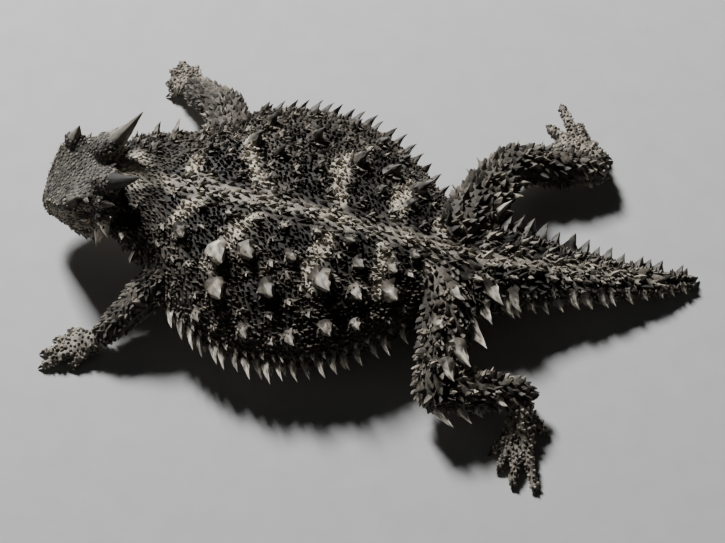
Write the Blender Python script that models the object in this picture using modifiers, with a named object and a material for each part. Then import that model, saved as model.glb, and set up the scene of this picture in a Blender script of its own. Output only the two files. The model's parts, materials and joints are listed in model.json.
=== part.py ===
"""Life-size model of a horned lizard lying with its head bowed, its limbs spread and its tail bent.

Lengths in the tables are in millimetres. The head looks along -X, the left side lies towards -Y
and +Z is up. The finished model is moved so that the middle of its underside is the origin.
"""
import math

import bmesh
import bpy
from mathutils import Matrix, Vector

MM = 0.001
GAP = 0.3
SHARPEST = 2.0
FLOOR = 0.0
GROUP = "horned_lizard"

# Trunk: x, half width, height of the widest line, top, underside
TORSO = (
    (-30.0, 18.4, 10.4, 18.6, 2.6), (-27.0, 21.4, 9.8, 18.9, 1.6), (-23.0, 25.0, 9.2, 19.2, 0.6),
    (-18.0, 28.5, 8.8, 19.5, -0.4), (-12.0, 31.2, 8.5, 19.7, -0.9), (-5.0, 32.6, 8.4, 19.8, -1.0),
    (2.0, 32.2, 8.4, 19.6, -1.0), (9.0, 30.2, 8.4, 19.0, -0.9), (15.0, 27.0, 8.5, 18.2, -0.6),
    (21.0, 22.1, 8.6, 17.2, -0.1), (26.0, 17.4, 8.7, 16.2, 0.8), (30.0, 13.6, 8.6, 15.1, 1.6),
    (33.0, 11.6, 8.4, 14.2, 2.0), (35.6, 10.4, 8.1, 13.4, 2.2),
)
TORSO_SIDES = 28
TOP_POWER = 1.75
UNDER_POWER = 2.3

# Neck: x, y, half width, height of the widest line, top, underside, lean in degrees
NECK = (
    (-41.6, -1.0, 9.8, 15.6, 20.4, 10.6, 22.0), (-39.6, -0.8, 11.6, 14.8, 20.6, 9.0, 18.0),
    (-37.0, -0.5, 13.6, 13.6, 20.4, 6.8, 13.0), (-33.6, -0.2, 15.9, 12.0, 19.6, 4.6, 6.0),
    (-28.6, 0.0, 18.8, 10.4, 18.5, 2.8, 0.0),
)
NECK_SIDES = 24
NECK_POWER = 2.0

# Tail: x, y, half width, height of the widest line, top, underside
TAIL = (
    (34.4, 0.4, 11.6, 8.1, 13.5, 2.3), (40.0, 2.4, 10.7, 7.7, 12.8, 2.4), (45.0, 3.9, 9.2, 7.1, 11.6, 2.4),
    (51.0, 5.2, 7.4, 6.4, 10.0, 2.2), (57.0, 6.4, 6.0, 5.6, 8.5, 1.8), (63.0, 7.7, 4.8, 4.7, 7.1, 1.3),
    (69.0, 9.2, 3.7, 3.8, 5.7, 0.8), (75.0, 11.2, 2.6, 2.8, 4.2, 0.2), (80.0, 13.3, 1.5, 1.6, 2.6, -0.3),
    (82.2, 14.4, 0.6, 0.9, 1.4, 0.2),
)
TAIL_BREAK = 4
TAIL_SIDES = 18
TAIL_POWER = 1.9

# Head frame: place of the crown's middle, how far the snout is bowed and how far the head is turned left
CROWN = (-48.2, -2.9, 19.6)
BOW = 23.0
TURN = 15.0
# Head: forward place, then half width and height of brow, orbit, lip, jaw edge, and top, underside
HEAD = (
    (12.0, 0.9, -6.2, 1.6, -6.4, 2.0, -6.9, 1.6, -7.7, -5.9, -8.2),
    (10.6, 1.9, -5.0, 2.8, -5.6, 3.5, -6.9, 2.9, -8.6, -4.3, -9.2),
    (8.0, 3.7, -2.1, 4.5, -4.2, 5.6, -7.0, 5.0, -9.4, -2.0, -10.2),
    (5.2, 6.7, 0.1, 6.3, -3.4, 8.0, -7.4, 8.0, -10.2, -0.6, -11.1),
    (2.4, 8.9, 1.1, 7.6, -3.2, 9.8, -7.5, 10.1, -10.6, 0.0, -11.8),
    (-0.8, 8.3, 1.4, 8.6, -3.0, 10.6, -7.0, 10.9, -10.2, 0.2, -11.9),
    (-3.4, 6.8, 0.0, 9.6, -2.8, 10.9, -6.4, 11.0, -9.4, 0.1, -11.5),
    (-5.8, 6.2, -0.5, 10.0, -2.8, 10.9, -5.8, 10.6, -8.6, -0.1, -10.9),
    (-7.8, 5.6, -1.2, 9.0, -3.4, 9.8, -5.6, 9.2, -7.9, -0.8, -10.0),
    (-9.0, 4.6, -2.7, 6.8, -4.3, 7.4, -5.9, 6.8, -7.5, -2.5, -8.8),
)
# Where the crown's slope and the chin's slope break: share of the half width, share of the rise
CROWN_BREAK = (0.55, 0.25)
CHIN_BREAK = (0.55, 0.2)
MOUTH_LEVEL = -7.9
CUT_REACH = 40.0
EYE_PLACE = (0.1, 7.6, -4.8)
EYE_RADIUS = 2.0
LID_RADIUS = 1.8
LID_THICKNESS = 0.5
LID_OUTWARD = 1.1
LID_SIDES = 12
NOSTRIL_PLACE = (10.4, 2.2, -3.9)
NOSTRIL_RADIUS = 0.42
EAR_PLACE = (-5.6, 10.7, -6.6)
EAR_RADIUS = 1.4
# Spines of the jaw's edge: place along the head, length
JAW_SPINES = ((8.4, 0.7), (6.8, 0.8), (5.1, 1.0), (3.3, 1.1), (1.4, 1.3), (-0.6, 1.4), (-2.6, 1.4))
JAW_SPINE_STOUTNESS = 0.42
JAW_SPINE_LEAN = (-0.35, 1.0, -0.2)

# Horns: root and tip in the head frame on the left side, radius at the root, rise of the bend
HORNS = {
    "horn_occipital": ((-5.5, 3.8, -0.8), (-16.6, 8.3, 3.2), 2.9, 0.4),
    "horn_brow": ((1.0, 8.0, 0.4), (-1.8, 9.2, 3.3), 2.1, 0.1),
    "horn_temple_rear": ((-5.2, 7.8, -1.8), (-9.0, 10.6, -0.8), 1.7, 0.2),
    "horn_temple_middle": ((-3.9, 9.4, -4.4), (-4.3, 13.7, -6.4), 1.6, 0.2),
    "horn_temple_front": ((-2.0, 9.6, -7.6), (-0.5, 13.7, -8.6), 1.3, 0.1),
}
# Share of a horn's length and of its radius there
HORN_PROFILE = ((0.0, 1.0), (0.2, 0.82), (0.45, 0.57), (0.7, 0.32), (0.9, 0.12), (1.0, 0.04))
HORN_SIDES = 8

# Limbs, from the body outward: x, y, z, half width and half height
LIMBS = {
    "left_front": {
        "upper_arm": ((-20.0, -11.0, 10.5, 5.2, 4.8), (-25.2, -18.6, 9.8, 4.8, 4.4),
                      (-29.2, -23.4, 8.6, 4.2, 3.9)),
        "forearm": ((-28.4, -22.6, 8.6, 4.0, 3.7), (-32.2, -27.6, 6.4, 3.4, 3.2),
                    (-35.0, -31.0, 4.4, 2.6, 2.5)),
        "palm": ((-34.2, -30.2, 4.4, 2.4, 2.4), (-36.6, -32.2, 3.0, 2.9, 2.1),
                 (-39.6, -33.4, 1.9, 3.4, 1.7)),
    },
    "right_front": {
        "upper_arm": ((-19.0, 15.0, 10.0, 5.4, 4.8), (-22.6, 22.6, 9.6, 5.2, 4.5),
                      (-25.6, 28.6, 8.8, 4.8, 4.2)),
        "forearm": ((-25.0, 27.6, 8.8, 4.5, 4.0), (-29.6, 31.0, 7.4, 4.3, 3.7),
                    (-33.6, 33.6, 5.4, 3.3, 2.9)),
        "palm": ((-32.8, 33.0, 5.4, 2.8, 2.6), (-35.6, 35.2, 3.8, 3.1, 2.3), (-37.4, 37.4, 2.4, 3.3, 1.9)),
    },
    "left_rear": {
        "thigh": ((30.0, -5.0, 10.0, 6.2, 5.4), (34.0, -13.0, 9.8, 5.8, 5.2), (34.8, -21.6, 8.8, 5.3, 4.8),
                  (35.2, -29.4, 7.2, 4.5, 4.3)),
        "shank": ((35.2, -29.0, 7.0, 4.0, 3.9), (39.2, -28.2, 6.8, 4.4, 4.1), (46.0, -26.0, 6.3, 4.0, 3.6),
                  (52.4, -24.0, 5.0, 3.0, 2.8)),
        "sole": ((51.6, -24.2, 5.0, 2.7, 2.6), (53.2, -28.0, 3.8, 2.9, 2.4), (54.0, -33.2, 2.2, 3.6, 1.8)),
    },
    "right_rear": {
        "thigh": ((29.0, 5.0, 10.0, 6.2, 5.4), (33.0, 13.2, 9.4, 5.8, 5.2), (35.4, 22.2, 8.2, 5.2, 4.8),
                  (37.4, 29.6, 7.0, 4.4, 4.2)),
        "shank": ((37.2, 29.6, 6.8, 3.9, 3.9), (41.0, 31.5, 6.2, 4.6, 4.2), (49.0, 32.7, 5.4, 4.2, 3.8),
                  (56.0, 34.8, 4.6, 3.1, 2.9)),
        "sole": ((55.6, 34.0, 4.6, 2.8, 2.7), (54.4, 37.8, 3.8, 3.0, 2.4), (51.4, 41.4, 2.6, 3.7, 1.9)),
    },
}
LIMB_SIDES = 14
# How far out and how wide the rings of a domed end stand
DOMES = ((0.55, 0.84), (0.9, 0.44))

# Digits: root x, y, z and tip x, y on the floor
DIGITS = {
    "left_front": (
        ((-38.6, -31.2, 2.4), (-44.0, -29.6)), ((-39.8, -32.2, 2.2), (-46.2, -32.8)),
        ((-40.2, -33.6, 2.0), (-47.8, -36.8)), ((-39.8, -34.8, 1.9), (-47.0, -40.2)),
        ((-38.4, -35.2, 1.9), (-40.6, -39.2)),
    ),
    "right_front": (
        ((-35.4, 39.0, 2.6), (-36.8, 43.8)), ((-36.8, 39.2, 2.5), (-40.8, 44.0)),
        ((-38.0, 38.6, 2.4), (-42.4, 41.2)), ((-38.6, 37.0, 2.4), (-42.2, 37.4)),
        ((-37.2, 35.4, 2.6), (-41.0, 33.8)),
    ),
    "left_rear": (
        ((51.6, -33.2, 2.1), (48.4, -37.6)), ((52.6, -34.8, 2.0), (51.2, -41.4)),
        ((54.2, -35.6, 2.0), (54.9, -44.2)), ((56.0, -35.2, 2.0), (59.8, -44.0)),
        ((55.4, -28.0, 3.2), (59.6, -30.2)),
    ),
    "right_rear": (
        ((54.2, 40.6, 2.8), (58.4, 41.4)), ((50.6, 43.4, 2.4), (49.6, 49.4)),
        ((49.6, 43.2, 2.4), (44.2, 53.4)), ((48.4, 42.2, 2.4), (42.2, 46.8)),
        ((48.0, 40.6, 2.6), (44.0, 41.6)),
    ),
}
DIGIT_RADIUS = 1.28
DIGIT_SIDES = 6
# Against the digit's radius: half width and half height inside the foot, at the root, knuckle and end
DIGIT_SHARES = ((0.9, 0.8), (1.0, 0.95), (0.9, 0.9), (0.72, 0.7))
DIGIT_END_HEIGHT = 0.62
DIGIT_SINK = 1.6
KNUCKLE_SHARE = 0.45
KNUCKLE_RISE = 0.35
CLAW_LENGTH = 1.5
# The claw's root: share of its length, rise and half width; its point: height and half width
CLAW_ROOT = (0.25, 0.12, 0.42)
CLAW_POINT = (0.22, 0.09)

# Fringe rows: number in the row, length, root radius, tilt below level in degrees, share of the underside
FRINGE = ((24, 6.1, 1.15, 1.0, 0.0), (17, 3.4, 0.8, 34.0, -0.32))
FRINGE_REACH = (-25.5, 26.5)
# Spines of the back on each side: x, share of the half width, length
BACK_SPINES = (
    (-23.5, 0.44, 3.2), (-14.5, 0.48, 5.4), (-8.6, 0.4, 4.4), (0.4, 0.36, 3.4), (14.2, 0.34, 3.2),
    (20.8, 0.36, 3.2), (27.0, 0.38, 3.0), (-12.8, 0.7, 5.0), (-2.5, 0.6, 5.0), (7.9, 0.5, 6.4),
    (15.1, 0.57, 4.6), (21.6, 0.6, 4.8), (28.2, 0.66, 4.0), (-22.8, 0.78, 3.8), (-15.7, 0.9, 4.4),
    (-5.3, 0.87, 4.4), (4.2, 0.87, 4.6), (10.9, 0.82, 4.2), (16.4, 0.82, 3.8), (-21.0, 0.16, 2.2),
    (-15.0, 0.17, 2.4), (-9.0, 0.16, 2.4), (-3.0, 0.17, 2.4), (4.0, 0.16, 2.6), (11.0, 0.17, 2.6),
    (18.0, 0.18, 2.4), (24.6, 0.2, 2.4),
)
BACK_SPINE_STOUTNESS = 0.4
# Neck spines on each side: x, share of the half width, length
NECK_SPINES = ((-35.8, 0.92, 3.2), (-32.4, 0.97, 3.4), (-34.4, 0.5, 2.8))
# Tail rows: number, first and last x, length at the first and last; share of the half width
TAIL_ROWS = (((15, 38.0, 79.5, 4.4, 1.5), 0.985), ((9, 38.0, 70.0, 3.8, 1.4), 0.5))
TAIL_EDGE_SHARE = 0.9
# Limb spines: place round the limb in degrees, shares of its length, length
LIMB_SPINES = {
    "left_rear_thigh": ((14.0, (0.46, 0.64, 0.82), 4.4), (66.0, (0.5, 0.72), 3.2)),
    "right_rear_thigh": ((14.0, (0.46, 0.66, 0.84), 2.4), (166.0, (0.44, 0.62, 0.8), 3.4)),
    "left_rear_shank": ((196.0, (0.12, 0.27, 0.4), 3.4), (20.0, (0.5, 0.68), 1.8)),
    "right_rear_shank": ((14.0, (0.24, 0.44, 0.64), 2.0), (190.0, (0.3, 0.5), 2.0)),
    "left_front_upper_arm": ((20.0, (0.55, 0.8), 1.8),),
    "right_front_upper_arm": ((14.0, (0.55, 0.8), 1.8),),
}
SPINE_SIDES = 5
SPINE_BURY = 0.9
SPINE_POINT = 0.06
SLIM_STOUTNESS = 0.33
FRINGE_SINK = 0.04
FRINGE_REARWARD = 0.5
FRINGE_TAPER = (0.72, 0.28)
BACK_SPINE_LEAN = (0.9, 0.75)
NECK_SPINE_LEAN = (0.35, 0.5)
TAIL_EDGE_LEAN = (0.42, 1.0, -0.1)
TAIL_TOP_LEAN = 0.8
LIMB_SPINE_LEAN = (0.35, 0.15)
LIMB_ROOM = 0.8
SPINE_REACH = 3.3
SPINE_ROOT = 1.9

COLOURS = {
    "hide": (0.24, 0.19, 0.14), "horn": (0.46, 0.40, 0.31), "eye": (0.03, 0.02, 0.015),
}


def head_frame():
    """The head's axes in the model: forward, left, up, and its place."""
    bow, turn = math.radians(BOW), math.radians(TURN)
    forward = Vector((-math.cos(bow) * math.cos(turn), -math.cos(bow) * math.sin(turn), -math.sin(bow)))
    left = Vector((math.sin(turn), -math.cos(turn), 0.0))
    up = forward.cross(left)
    return Matrix((
        (forward.x, left.x, up.x, CROWN[0]), (forward.y, left.y, up.y, CROWN[1]),
        (forward.z, left.z, up.z, CROWN[2]), (0.0, 0.0, 0.0, 1.0),
    ))


def on_head(place, side=1):
    """A point given in the head frame, on the left for side 1 and on the right for side -1."""
    return head_frame() @ Vector((place[0], place[1] * side, place[2]))


def new_object(name, mesh):
    """Turns an edit mesh into an object of the part's collection, in metres."""
    bmesh.ops.recalc_face_normals(mesh, faces=mesh.faces)
    mesh.transform(Matrix.Scale(MM, 4))
    data = bpy.data.meshes.new(name)
    mesh.to_mesh(data)
    mesh.free()
    obj = bpy.data.objects.new(name, data)
    bpy.data.collections[GROUP].objects.link(obj)
    return obj


def rounded(angle, half_width, up, down, power_up, power_down):
    """A point of a section that is rounder or squarer above and below its widest line."""
    c, s = math.cos(angle), math.sin(angle)
    power, height = (power_up, up) if s >= 0.0 else (power_down, down)
    across = math.copysign(abs(c) ** (2.0 / power), c) * half_width
    return across, math.copysign(abs(s) ** (2.0 / power), s) * height


def loft(name, rings):
    """A closed solid through rings of equal point counts: each ring is drawn out from the last."""
    mesh = bmesh.new()
    made = bmesh.ops.create_circle(mesh, cap_ends=True, radius=1.0, segments=len(rings[0]))
    verts = list(made["verts"])
    for vert, place in zip(verts, rings[0]):
        vert.co = place
    edges = [edge for edge in mesh.edges]
    for ring in rings[1:]:
        drawn = bmesh.ops.extrude_edge_only(mesh, edges=edges)["geom"]
        fresh = [item for item in drawn if isinstance(item, bmesh.types.BMVert)]
        edges = [item for item in drawn if isinstance(item, bmesh.types.BMEdge)]
        edges = [edge for edge in edges if edge.verts[0] in fresh and edge.verts[1] in fresh]
        order = {}
        for vert in fresh:
            for edge in vert.link_edges:
                other = edge.other_vert(vert)
                if other in verts:
                    order[verts.index(other)] = vert
        verts = [order[index] for index in range(len(ring))]
        for vert, place in zip(verts, ring):
            vert.co = place
    mesh.faces.new(verts)
    return new_object(name, mesh)


def above_floor(place, floor):
    """Keeps a point from going under the floor."""
    return Vector((place.x, place.y, max(place.z, floor)))


def body_rings(table, sides, power_up, power_down, grow=0.0):
    """Rings of the trunk, neck or tail; rows give place, half width, heights and lean."""
    rings = []
    for index, row in enumerate(table):
        x, y, half, wide, top, under, lean = row
        before, after = table[max(index - 1, 0)], table[min(index + 1, len(table) - 1)]
        heading = math.atan2(after[1] - before[1], after[0] - before[0])
        turn = Matrix.Rotation(heading, 3, "Z") @ Matrix.Rotation(math.radians(lean), 3, "Y")
        ring = []
        for step in range(sides):
            across, rise = rounded(math.tau * step / sides, half + grow, top - wide + grow,
                                   wide - under + grow, power_up, power_down)
            place = Vector((x, y, wide)) + turn @ Vector((0.0, across, rise))
            ring.append(above_floor(place, FLOOR - grow))
        rings.append(ring)
    return rings


def torso_rows():
    """The trunk's table with its middle line and lean filled in."""
    return [(x, 0.0, half, wide, top, under, 0.0) for x, half, wide, top, under in TORSO]


def tail_rows():
    """The tail's table with its lean filled in."""
    return [row + (0.0,) for row in TAIL]


def tube_rings(path, sides, grow=0.0, round_start=False, round_end=False):
    """Rings along a path of x, y, z, half width and half height, with domed ends where asked."""
    places = [Vector(row[:3]) for row in path]
    steps = [(place, row[3] + grow, row[4] + grow) for place, row in zip(places, path)]
    headings = []
    for index in range(len(places)):
        ahead = places[min(index + 1, len(places) - 1)] - places[max(index - 1, 0)]
        headings.append(ahead.normalized())
    rows = [(place, wide, high, heading) for (place, wide, high), heading in zip(steps, headings)]
    if round_end:
        place, wide, high, heading = rows[-1]
        rows += [(place + heading * high * out, wide * size, high * size, heading) for out, size in DOMES]
    if round_start:
        place, wide, high, heading = rows[0]
        caps = [(place - heading * high * out, wide * size, high * size, heading) for out, size in DOMES]
        rows = caps[::-1] + rows
    rings = []
    for place, wide, high, heading in rows:
        side = Vector((0.0, 0.0, 1.0)).cross(heading).normalized()
        up = heading.cross(side)
        ring = []
        for step in range(sides):
            angle = math.tau * step / sides
            point = place + side * math.cos(angle) * wide + up * math.sin(angle) * high
            ring.append(above_floor(point, FLOOR - grow))
        rings.append(ring)
    return rings


def tube(name, path, sides=LIMB_SIDES, grow=0.0, round_start=False, round_end=False):
    """A closed tube along a path."""
    return loft(name, tube_rings(path, sides, grow, round_start, round_end))


def drop(obj):
    """Removes an object and its mesh."""
    data = obj.data
    bpy.data.objects.remove(obj)
    bpy.data.meshes.remove(data)


def apply_all(obj):
    """Applies an object's modifiers."""
    shape = obj.evaluated_get(bpy.context.evaluated_depsgraph_get())
    data = bpy.data.meshes.new_from_object(shape)
    old = obj.data
    obj.modifiers.clear()
    obj.data = data
    bpy.data.meshes.remove(old)


def largest_piece(obj):
    """Keeps the largest closed surface of a mesh."""
    mesh = bmesh.new()
    mesh.from_mesh(obj.data)
    bmesh.ops.dissolve_degenerate(mesh, dist=0.002 * MM, edges=mesh.edges)
    left = set(mesh.faces)
    pieces = []
    while left:
        stack, piece = [left.pop()], []
        while stack:
            face = stack.pop()
            piece.append(face)
            for edge in face.edges:
                if len(edge.link_faces) != 2:
                    continue
                for other in edge.link_faces:
                    if other in left:
                        left.remove(other)
                        stack.append(other)
        pieces.append(piece)
    pieces.sort(key=len)
    spare = [face for piece in pieces[:-1] for face in piece]
    bmesh.ops.delete(mesh, geom=spare, context="FACES")
    mesh.to_mesh(obj.data)
    mesh.free()


def combine(obj, others, operation):
    """Joins other closed solids to an object, or cuts them from it, and removes them."""
    if not others:
        return obj
    bench = bpy.data.collections.new("bench")
    bpy.context.scene.collection.children.link(bench)
    for other in others:
        for home in list(other.users_collection):
            home.objects.unlink(other)
        bench.objects.link(other)
    step = obj.modifiers.new("combine", "BOOLEAN")
    step.operation = operation
    step.solver = "EXACT"
    step.operand_type = "COLLECTION"
    step.collection = bench
    bpy.context.view_layer.update()
    apply_all(obj)
    for other in others:
        drop(other)
    bpy.data.collections.remove(bench)
    largest_piece(obj)
    return obj


def trim(obj, place, normal):
    """Cuts off what lies beyond a plane and closes the cut."""
    mesh = bmesh.new()
    mesh.from_mesh(obj.data)
    everything = list(mesh.verts) + list(mesh.edges) + list(mesh.faces)
    bmesh.ops.bisect_plane(mesh, geom=everything, dist=0.0, plane_co=place * MM, plane_no=normal,
                           clear_outer=True)
    bmesh.ops.holes_fill(mesh, edges=[edge for edge in mesh.edges if edge.is_boundary], sides=0)
    bmesh.ops.recalc_face_normals(mesh, faces=mesh.faces)
    mesh.to_mesh(obj.data)
    mesh.free()


def swell(obj, name, distance=GAP):
    """A copy of a solid with its surface moved outward, to cut its neighbours back by the gap."""
    mesh = bmesh.new()
    mesh.from_mesh(obj.data)
    mesh.normal_update()
    moves = [(vert, vert.normal * distance * MM * min(vert.calc_shell_factor(), SHARPEST))
             for vert in mesh.verts]
    for vert, move in moves:
        vert.co += move
    data = bpy.data.meshes.new(name)
    mesh.to_mesh(data)
    mesh.free()
    copy = bpy.data.objects.new(name, data)
    bpy.data.collections[GROUP].objects.link(copy)
    return copy


def ball(name, place, radius, segments=16, rings=10):
    """A sphere."""
    mesh = bmesh.new()
    bmesh.ops.create_uvsphere(mesh, u_segments=segments, v_segments=rings, radius=radius,
                              matrix=Matrix.Translation(place))
    return new_object(name, mesh)


def aimed(place, direction):
    """A matrix that puts +Z of a new shape along a direction at a place."""
    return Matrix.Translation(place) @ direction.to_track_quat("Z", "Y").to_matrix().to_4x4()


def horn_form(name, root, tip, radius, bend):
    """A tapering horn from its sunken root to its tip, bowed a little on the way."""
    rings = []
    along = (tip - root).normalized()
    side = along.orthogonal().normalized()
    other = along.cross(side)
    for part, size in HORN_PROFILE:
        middle = root.lerp(tip, part) - Vector((0.0, 0.0, bend * math.sin(math.pi * part)))
        turns = [math.tau * index / HORN_SIDES for index in range(HORN_SIDES)]
        rings.append([middle + (side * math.cos(turn) + other * math.sin(turn)) * radius * size
                      for turn in turns])
    return loft(name, rings)


def thorn(name, root, along, length, radius):
    """A small spine with its root sunk in the hide."""
    mesh = bmesh.new()
    along = along.normalized()
    depth = length + SPINE_BURY
    middle = root + along * (length - SPINE_BURY) / 2
    bmesh.ops.create_cone(mesh, cap_ends=True, segments=SPINE_SIDES, radius1=radius, radius2=SPINE_POINT,
                          depth=depth, matrix=aimed(middle, along))
    return new_object(name, mesh)


def row_at(table, x):
    """A table's row at a place along x, between its stations."""
    for low, high in zip(table, table[1:]):
        if low[0] <= x <= high[0]:
            part = (x - low[0]) / (high[0] - low[0])
            return [a + (b - a) * part for a, b in zip(low, high)]
    return list(table[-1] if x > table[-1][0] else table[0])


def on_back(table, x, share, power):
    """A point on the upper side at a share of the half width, and the way out of the skin there."""
    def point(place, part):
        _, y, half, wide, top, _, _ = row_at(table, place)
        rise = (top - wide) * max(1.0 - abs(part) ** power, 0.0) ** (1.0 / power)
        return Vector((place, y + half * part, wide + rise))
    step = 0.02
    here = point(x, share)
    inner, outer = max(share - step, -0.999), min(share + step, 0.999)
    across = point(x, outer) - point(x, inner)
    along = point(x + 0.5, share) - point(x - 0.5, share)
    return here, along.cross(across).normalized()


def near_limb(root, along, length):
    """Whether a spine would come too close to a limb."""
    points = [root + along.normalized() * length * part for part in (0.0, 0.5, 1.0)]
    for parts in LIMBS.values():
        for path in parts.values():
            for low, high in zip(path, path[1:]):
                start, end = Vector(low[:3]), Vector(high[:3])
                for point in points:
                    part = (point - start).dot(end - start) / (end - start).length_squared
                    part = max(0.0, min(1.0, part))
                    reach = max(low[3], high[3]) + LIMB_ROOM
                    if (point - start.lerp(end, part)).length < reach:
                        return True
    return False


def add_thorn(made, name, root, along, length, radius):
    """Adds a spine to a list where it stays clear of the limbs."""
    if not near_limb(root, along, length):
        made.append(thorn(name, root, along, length, radius))


def back_thorns():
    """Spines of the trunk: two fringe rows on each side, rows on the back and a few great ones."""
    table = torso_rows()
    made = []
    for count, length, radius, drop_angle, level in FRINGE:
        for side in (1, -1):
            for index in range(count):
                part = (index + 0.5) / count
                x = FRINGE_REACH[0] + (FRINGE_REACH[1] - FRINGE_REACH[0]) * part
                before, after = row_at(table, x - 0.5), row_at(table, x + 0.5)
                _, y, half, wide, _, under, _ = row_at(table, x)
                edge = Vector((1.0, (after[2] - before[2]) * side, 0.0)).normalized()
                out = Vector((-edge.y, edge.x, 0.0)) * side
                tilt = math.radians(drop_angle)
                sink = 1.0 - FRINGE_SINK * (level != 0.0)
                root = Vector((x, y + half * sink * side, wide + (wide - under) * level))
                lean = out * math.cos(tilt) - Vector((0.0, 0.0, math.sin(tilt))) + edge * FRINGE_REARWARD
                taper = FRINGE_TAPER[0] + FRINGE_TAPER[1] * math.sin(math.pi * part)
                add_thorn(made, "fringe", root, lean, length * taper, radius)
    for x, share, length in BACK_SPINES:
        for side in (1, -1):
            root, out = on_back(table, x, share * side, TOP_POWER)
            lean = out * BACK_SPINE_LEAN[0] + Vector((BACK_SPINE_LEAN[1], 0.0, 0.0))
            add_thorn(made, "back_spine", root, lean, length, length * BACK_SPINE_STOUTNESS)
    return made


def neck_thorns():
    """Spines of the neck's sides and top."""
    made = []
    for x, share, length in NECK_SPINES:
        for side in (1, -1):
            root, out = on_back(NECK, x, share * side, NECK_POWER)
            lean = out + Vector((NECK_SPINE_LEAN[0], NECK_SPINE_LEAN[1] * side, 0.0))
            add_thorn(made, "neck_spine", root, lean, length, length * SLIM_STOUTNESS)
    return made


def tail_thorns(low, high):
    """Spines of a length of the tail between two places: both edges and two rows on top."""
    table = tail_rows()
    made = []
    for (count, first, last, long, short), share in TAIL_ROWS:
        for index in range(count):
            part = index / (count - 1)
            x = first + (last - first) * part
            if not low < x < high:
                continue
            for side in (1, -1):
                root, out = on_back(table, x, share * side, TAIL_POWER)
                length = long + (short - long) * part
                lean = out + Vector((TAIL_TOP_LEAN, 0.0, 0.0))
                if share > TAIL_EDGE_SHARE:
                    lean = Vector((TAIL_EDGE_LEAN[0], TAIL_EDGE_LEAN[1] * side, TAIL_EDGE_LEAN[2]))
                add_thorn(made, "tail_spine", root, lean, length, length * SLIM_STOUTNESS)
    return made


def limb_thorns(name, path):
    """Spines along a length of a limb."""
    made = []
    places = [Vector(row[:3]) for row in path]
    for angle, shares, length in LIMB_SPINES.get(name, ()):
        for share in shares:
            place = share * (len(path) - 1)
            index = min(int(place), len(path) - 2)
            part = place - index
            middle = places[index].lerp(places[index + 1], part)
            wide, high = [path[index][k] + (path[index + 1][k] - path[index][k]) * part for k in (3, 4)]
            heading = (places[index + 1] - places[index]).normalized()
            side = Vector((0.0, 0.0, 1.0)).cross(heading).normalized()
            up = heading.cross(side)
            turn = math.radians(angle)
            out = side * math.cos(turn) * wide + up * math.sin(turn) * high
            lean = out.normalized() + heading * LIMB_SPINE_LEAN[0] + Vector((0.0, 0.0, LIMB_SPINE_LEAN[1]))
            made.append(thorn("limb_spine", middle + out, lean, length, length * SLIM_STOUTNESS))
    return made


def head_core():
    """The whole head with the jaw, from a coarse cage that is smoothed once."""
    frame = head_frame()
    rings = []
    for f, brow_w, brow_z, orbit_w, orbit_z, lip_w, lip_z, jaw_w, jaw_z, top, under in HEAD:
        left = (
            (brow_w * CROWN_BREAK[0], top + (brow_z - top) * CROWN_BREAK[1]), (brow_w, brow_z),
            (orbit_w, orbit_z), (lip_w, lip_z), (jaw_w, jaw_z),
            (jaw_w * CHIN_BREAK[0], under + (jaw_z - under) * CHIN_BREAK[1]),
        )
        section = [(0.0, top)] + list(left) + [(0.0, under)] + [(-w, z) for w, z in reversed(left)]
        rings.append([frame @ Vector((f, across, rise)) for across, rise in section])
    core = loft("head", rings)
    smooth = core.modifiers.new("smooth", "SUBSURF")
    smooth.levels = smooth.render_levels = 1
    bpy.context.view_layer.update()
    apply_all(core)
    return core


def head_slab(name, low, high):
    """A slab across the whole head between two heights of the head frame."""
    mesh = bmesh.new()
    place = head_frame() @ Matrix.Translation((0.0, 0.0, (low + high) / 2))
    size = Matrix.Diagonal((CUT_REACH * 2, CUT_REACH * 2, high - low, 1.0))
    bmesh.ops.create_cube(mesh, size=1.0, matrix=place @ size)
    return new_object(name, mesh)


def jaw_thorns():
    """The row of spines along each edge of the jaw."""
    made = []
    frame = head_frame().to_3x3()
    back, out, rise = JAW_SPINE_LEAN
    for f, length in JAW_SPINES:
        jaw_w, jaw_z = next(
            [low[k] + (high[k] - low[k]) * (f - low[0]) / (high[0] - low[0]) for k in (7, 8)]
            for high, low in zip(HEAD, HEAD[1:]) if low[0] <= f <= high[0]
        )
        for side in (1, -1):
            root = on_head((f, jaw_w, jaw_z), side)
            made.append(thorn("jaw_spine", root, frame @ Vector((back, out * side, rise)), length,
                              JAW_SPINE_STOUTNESS * (length + SPINE_BURY) / 2))
    return made


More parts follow.
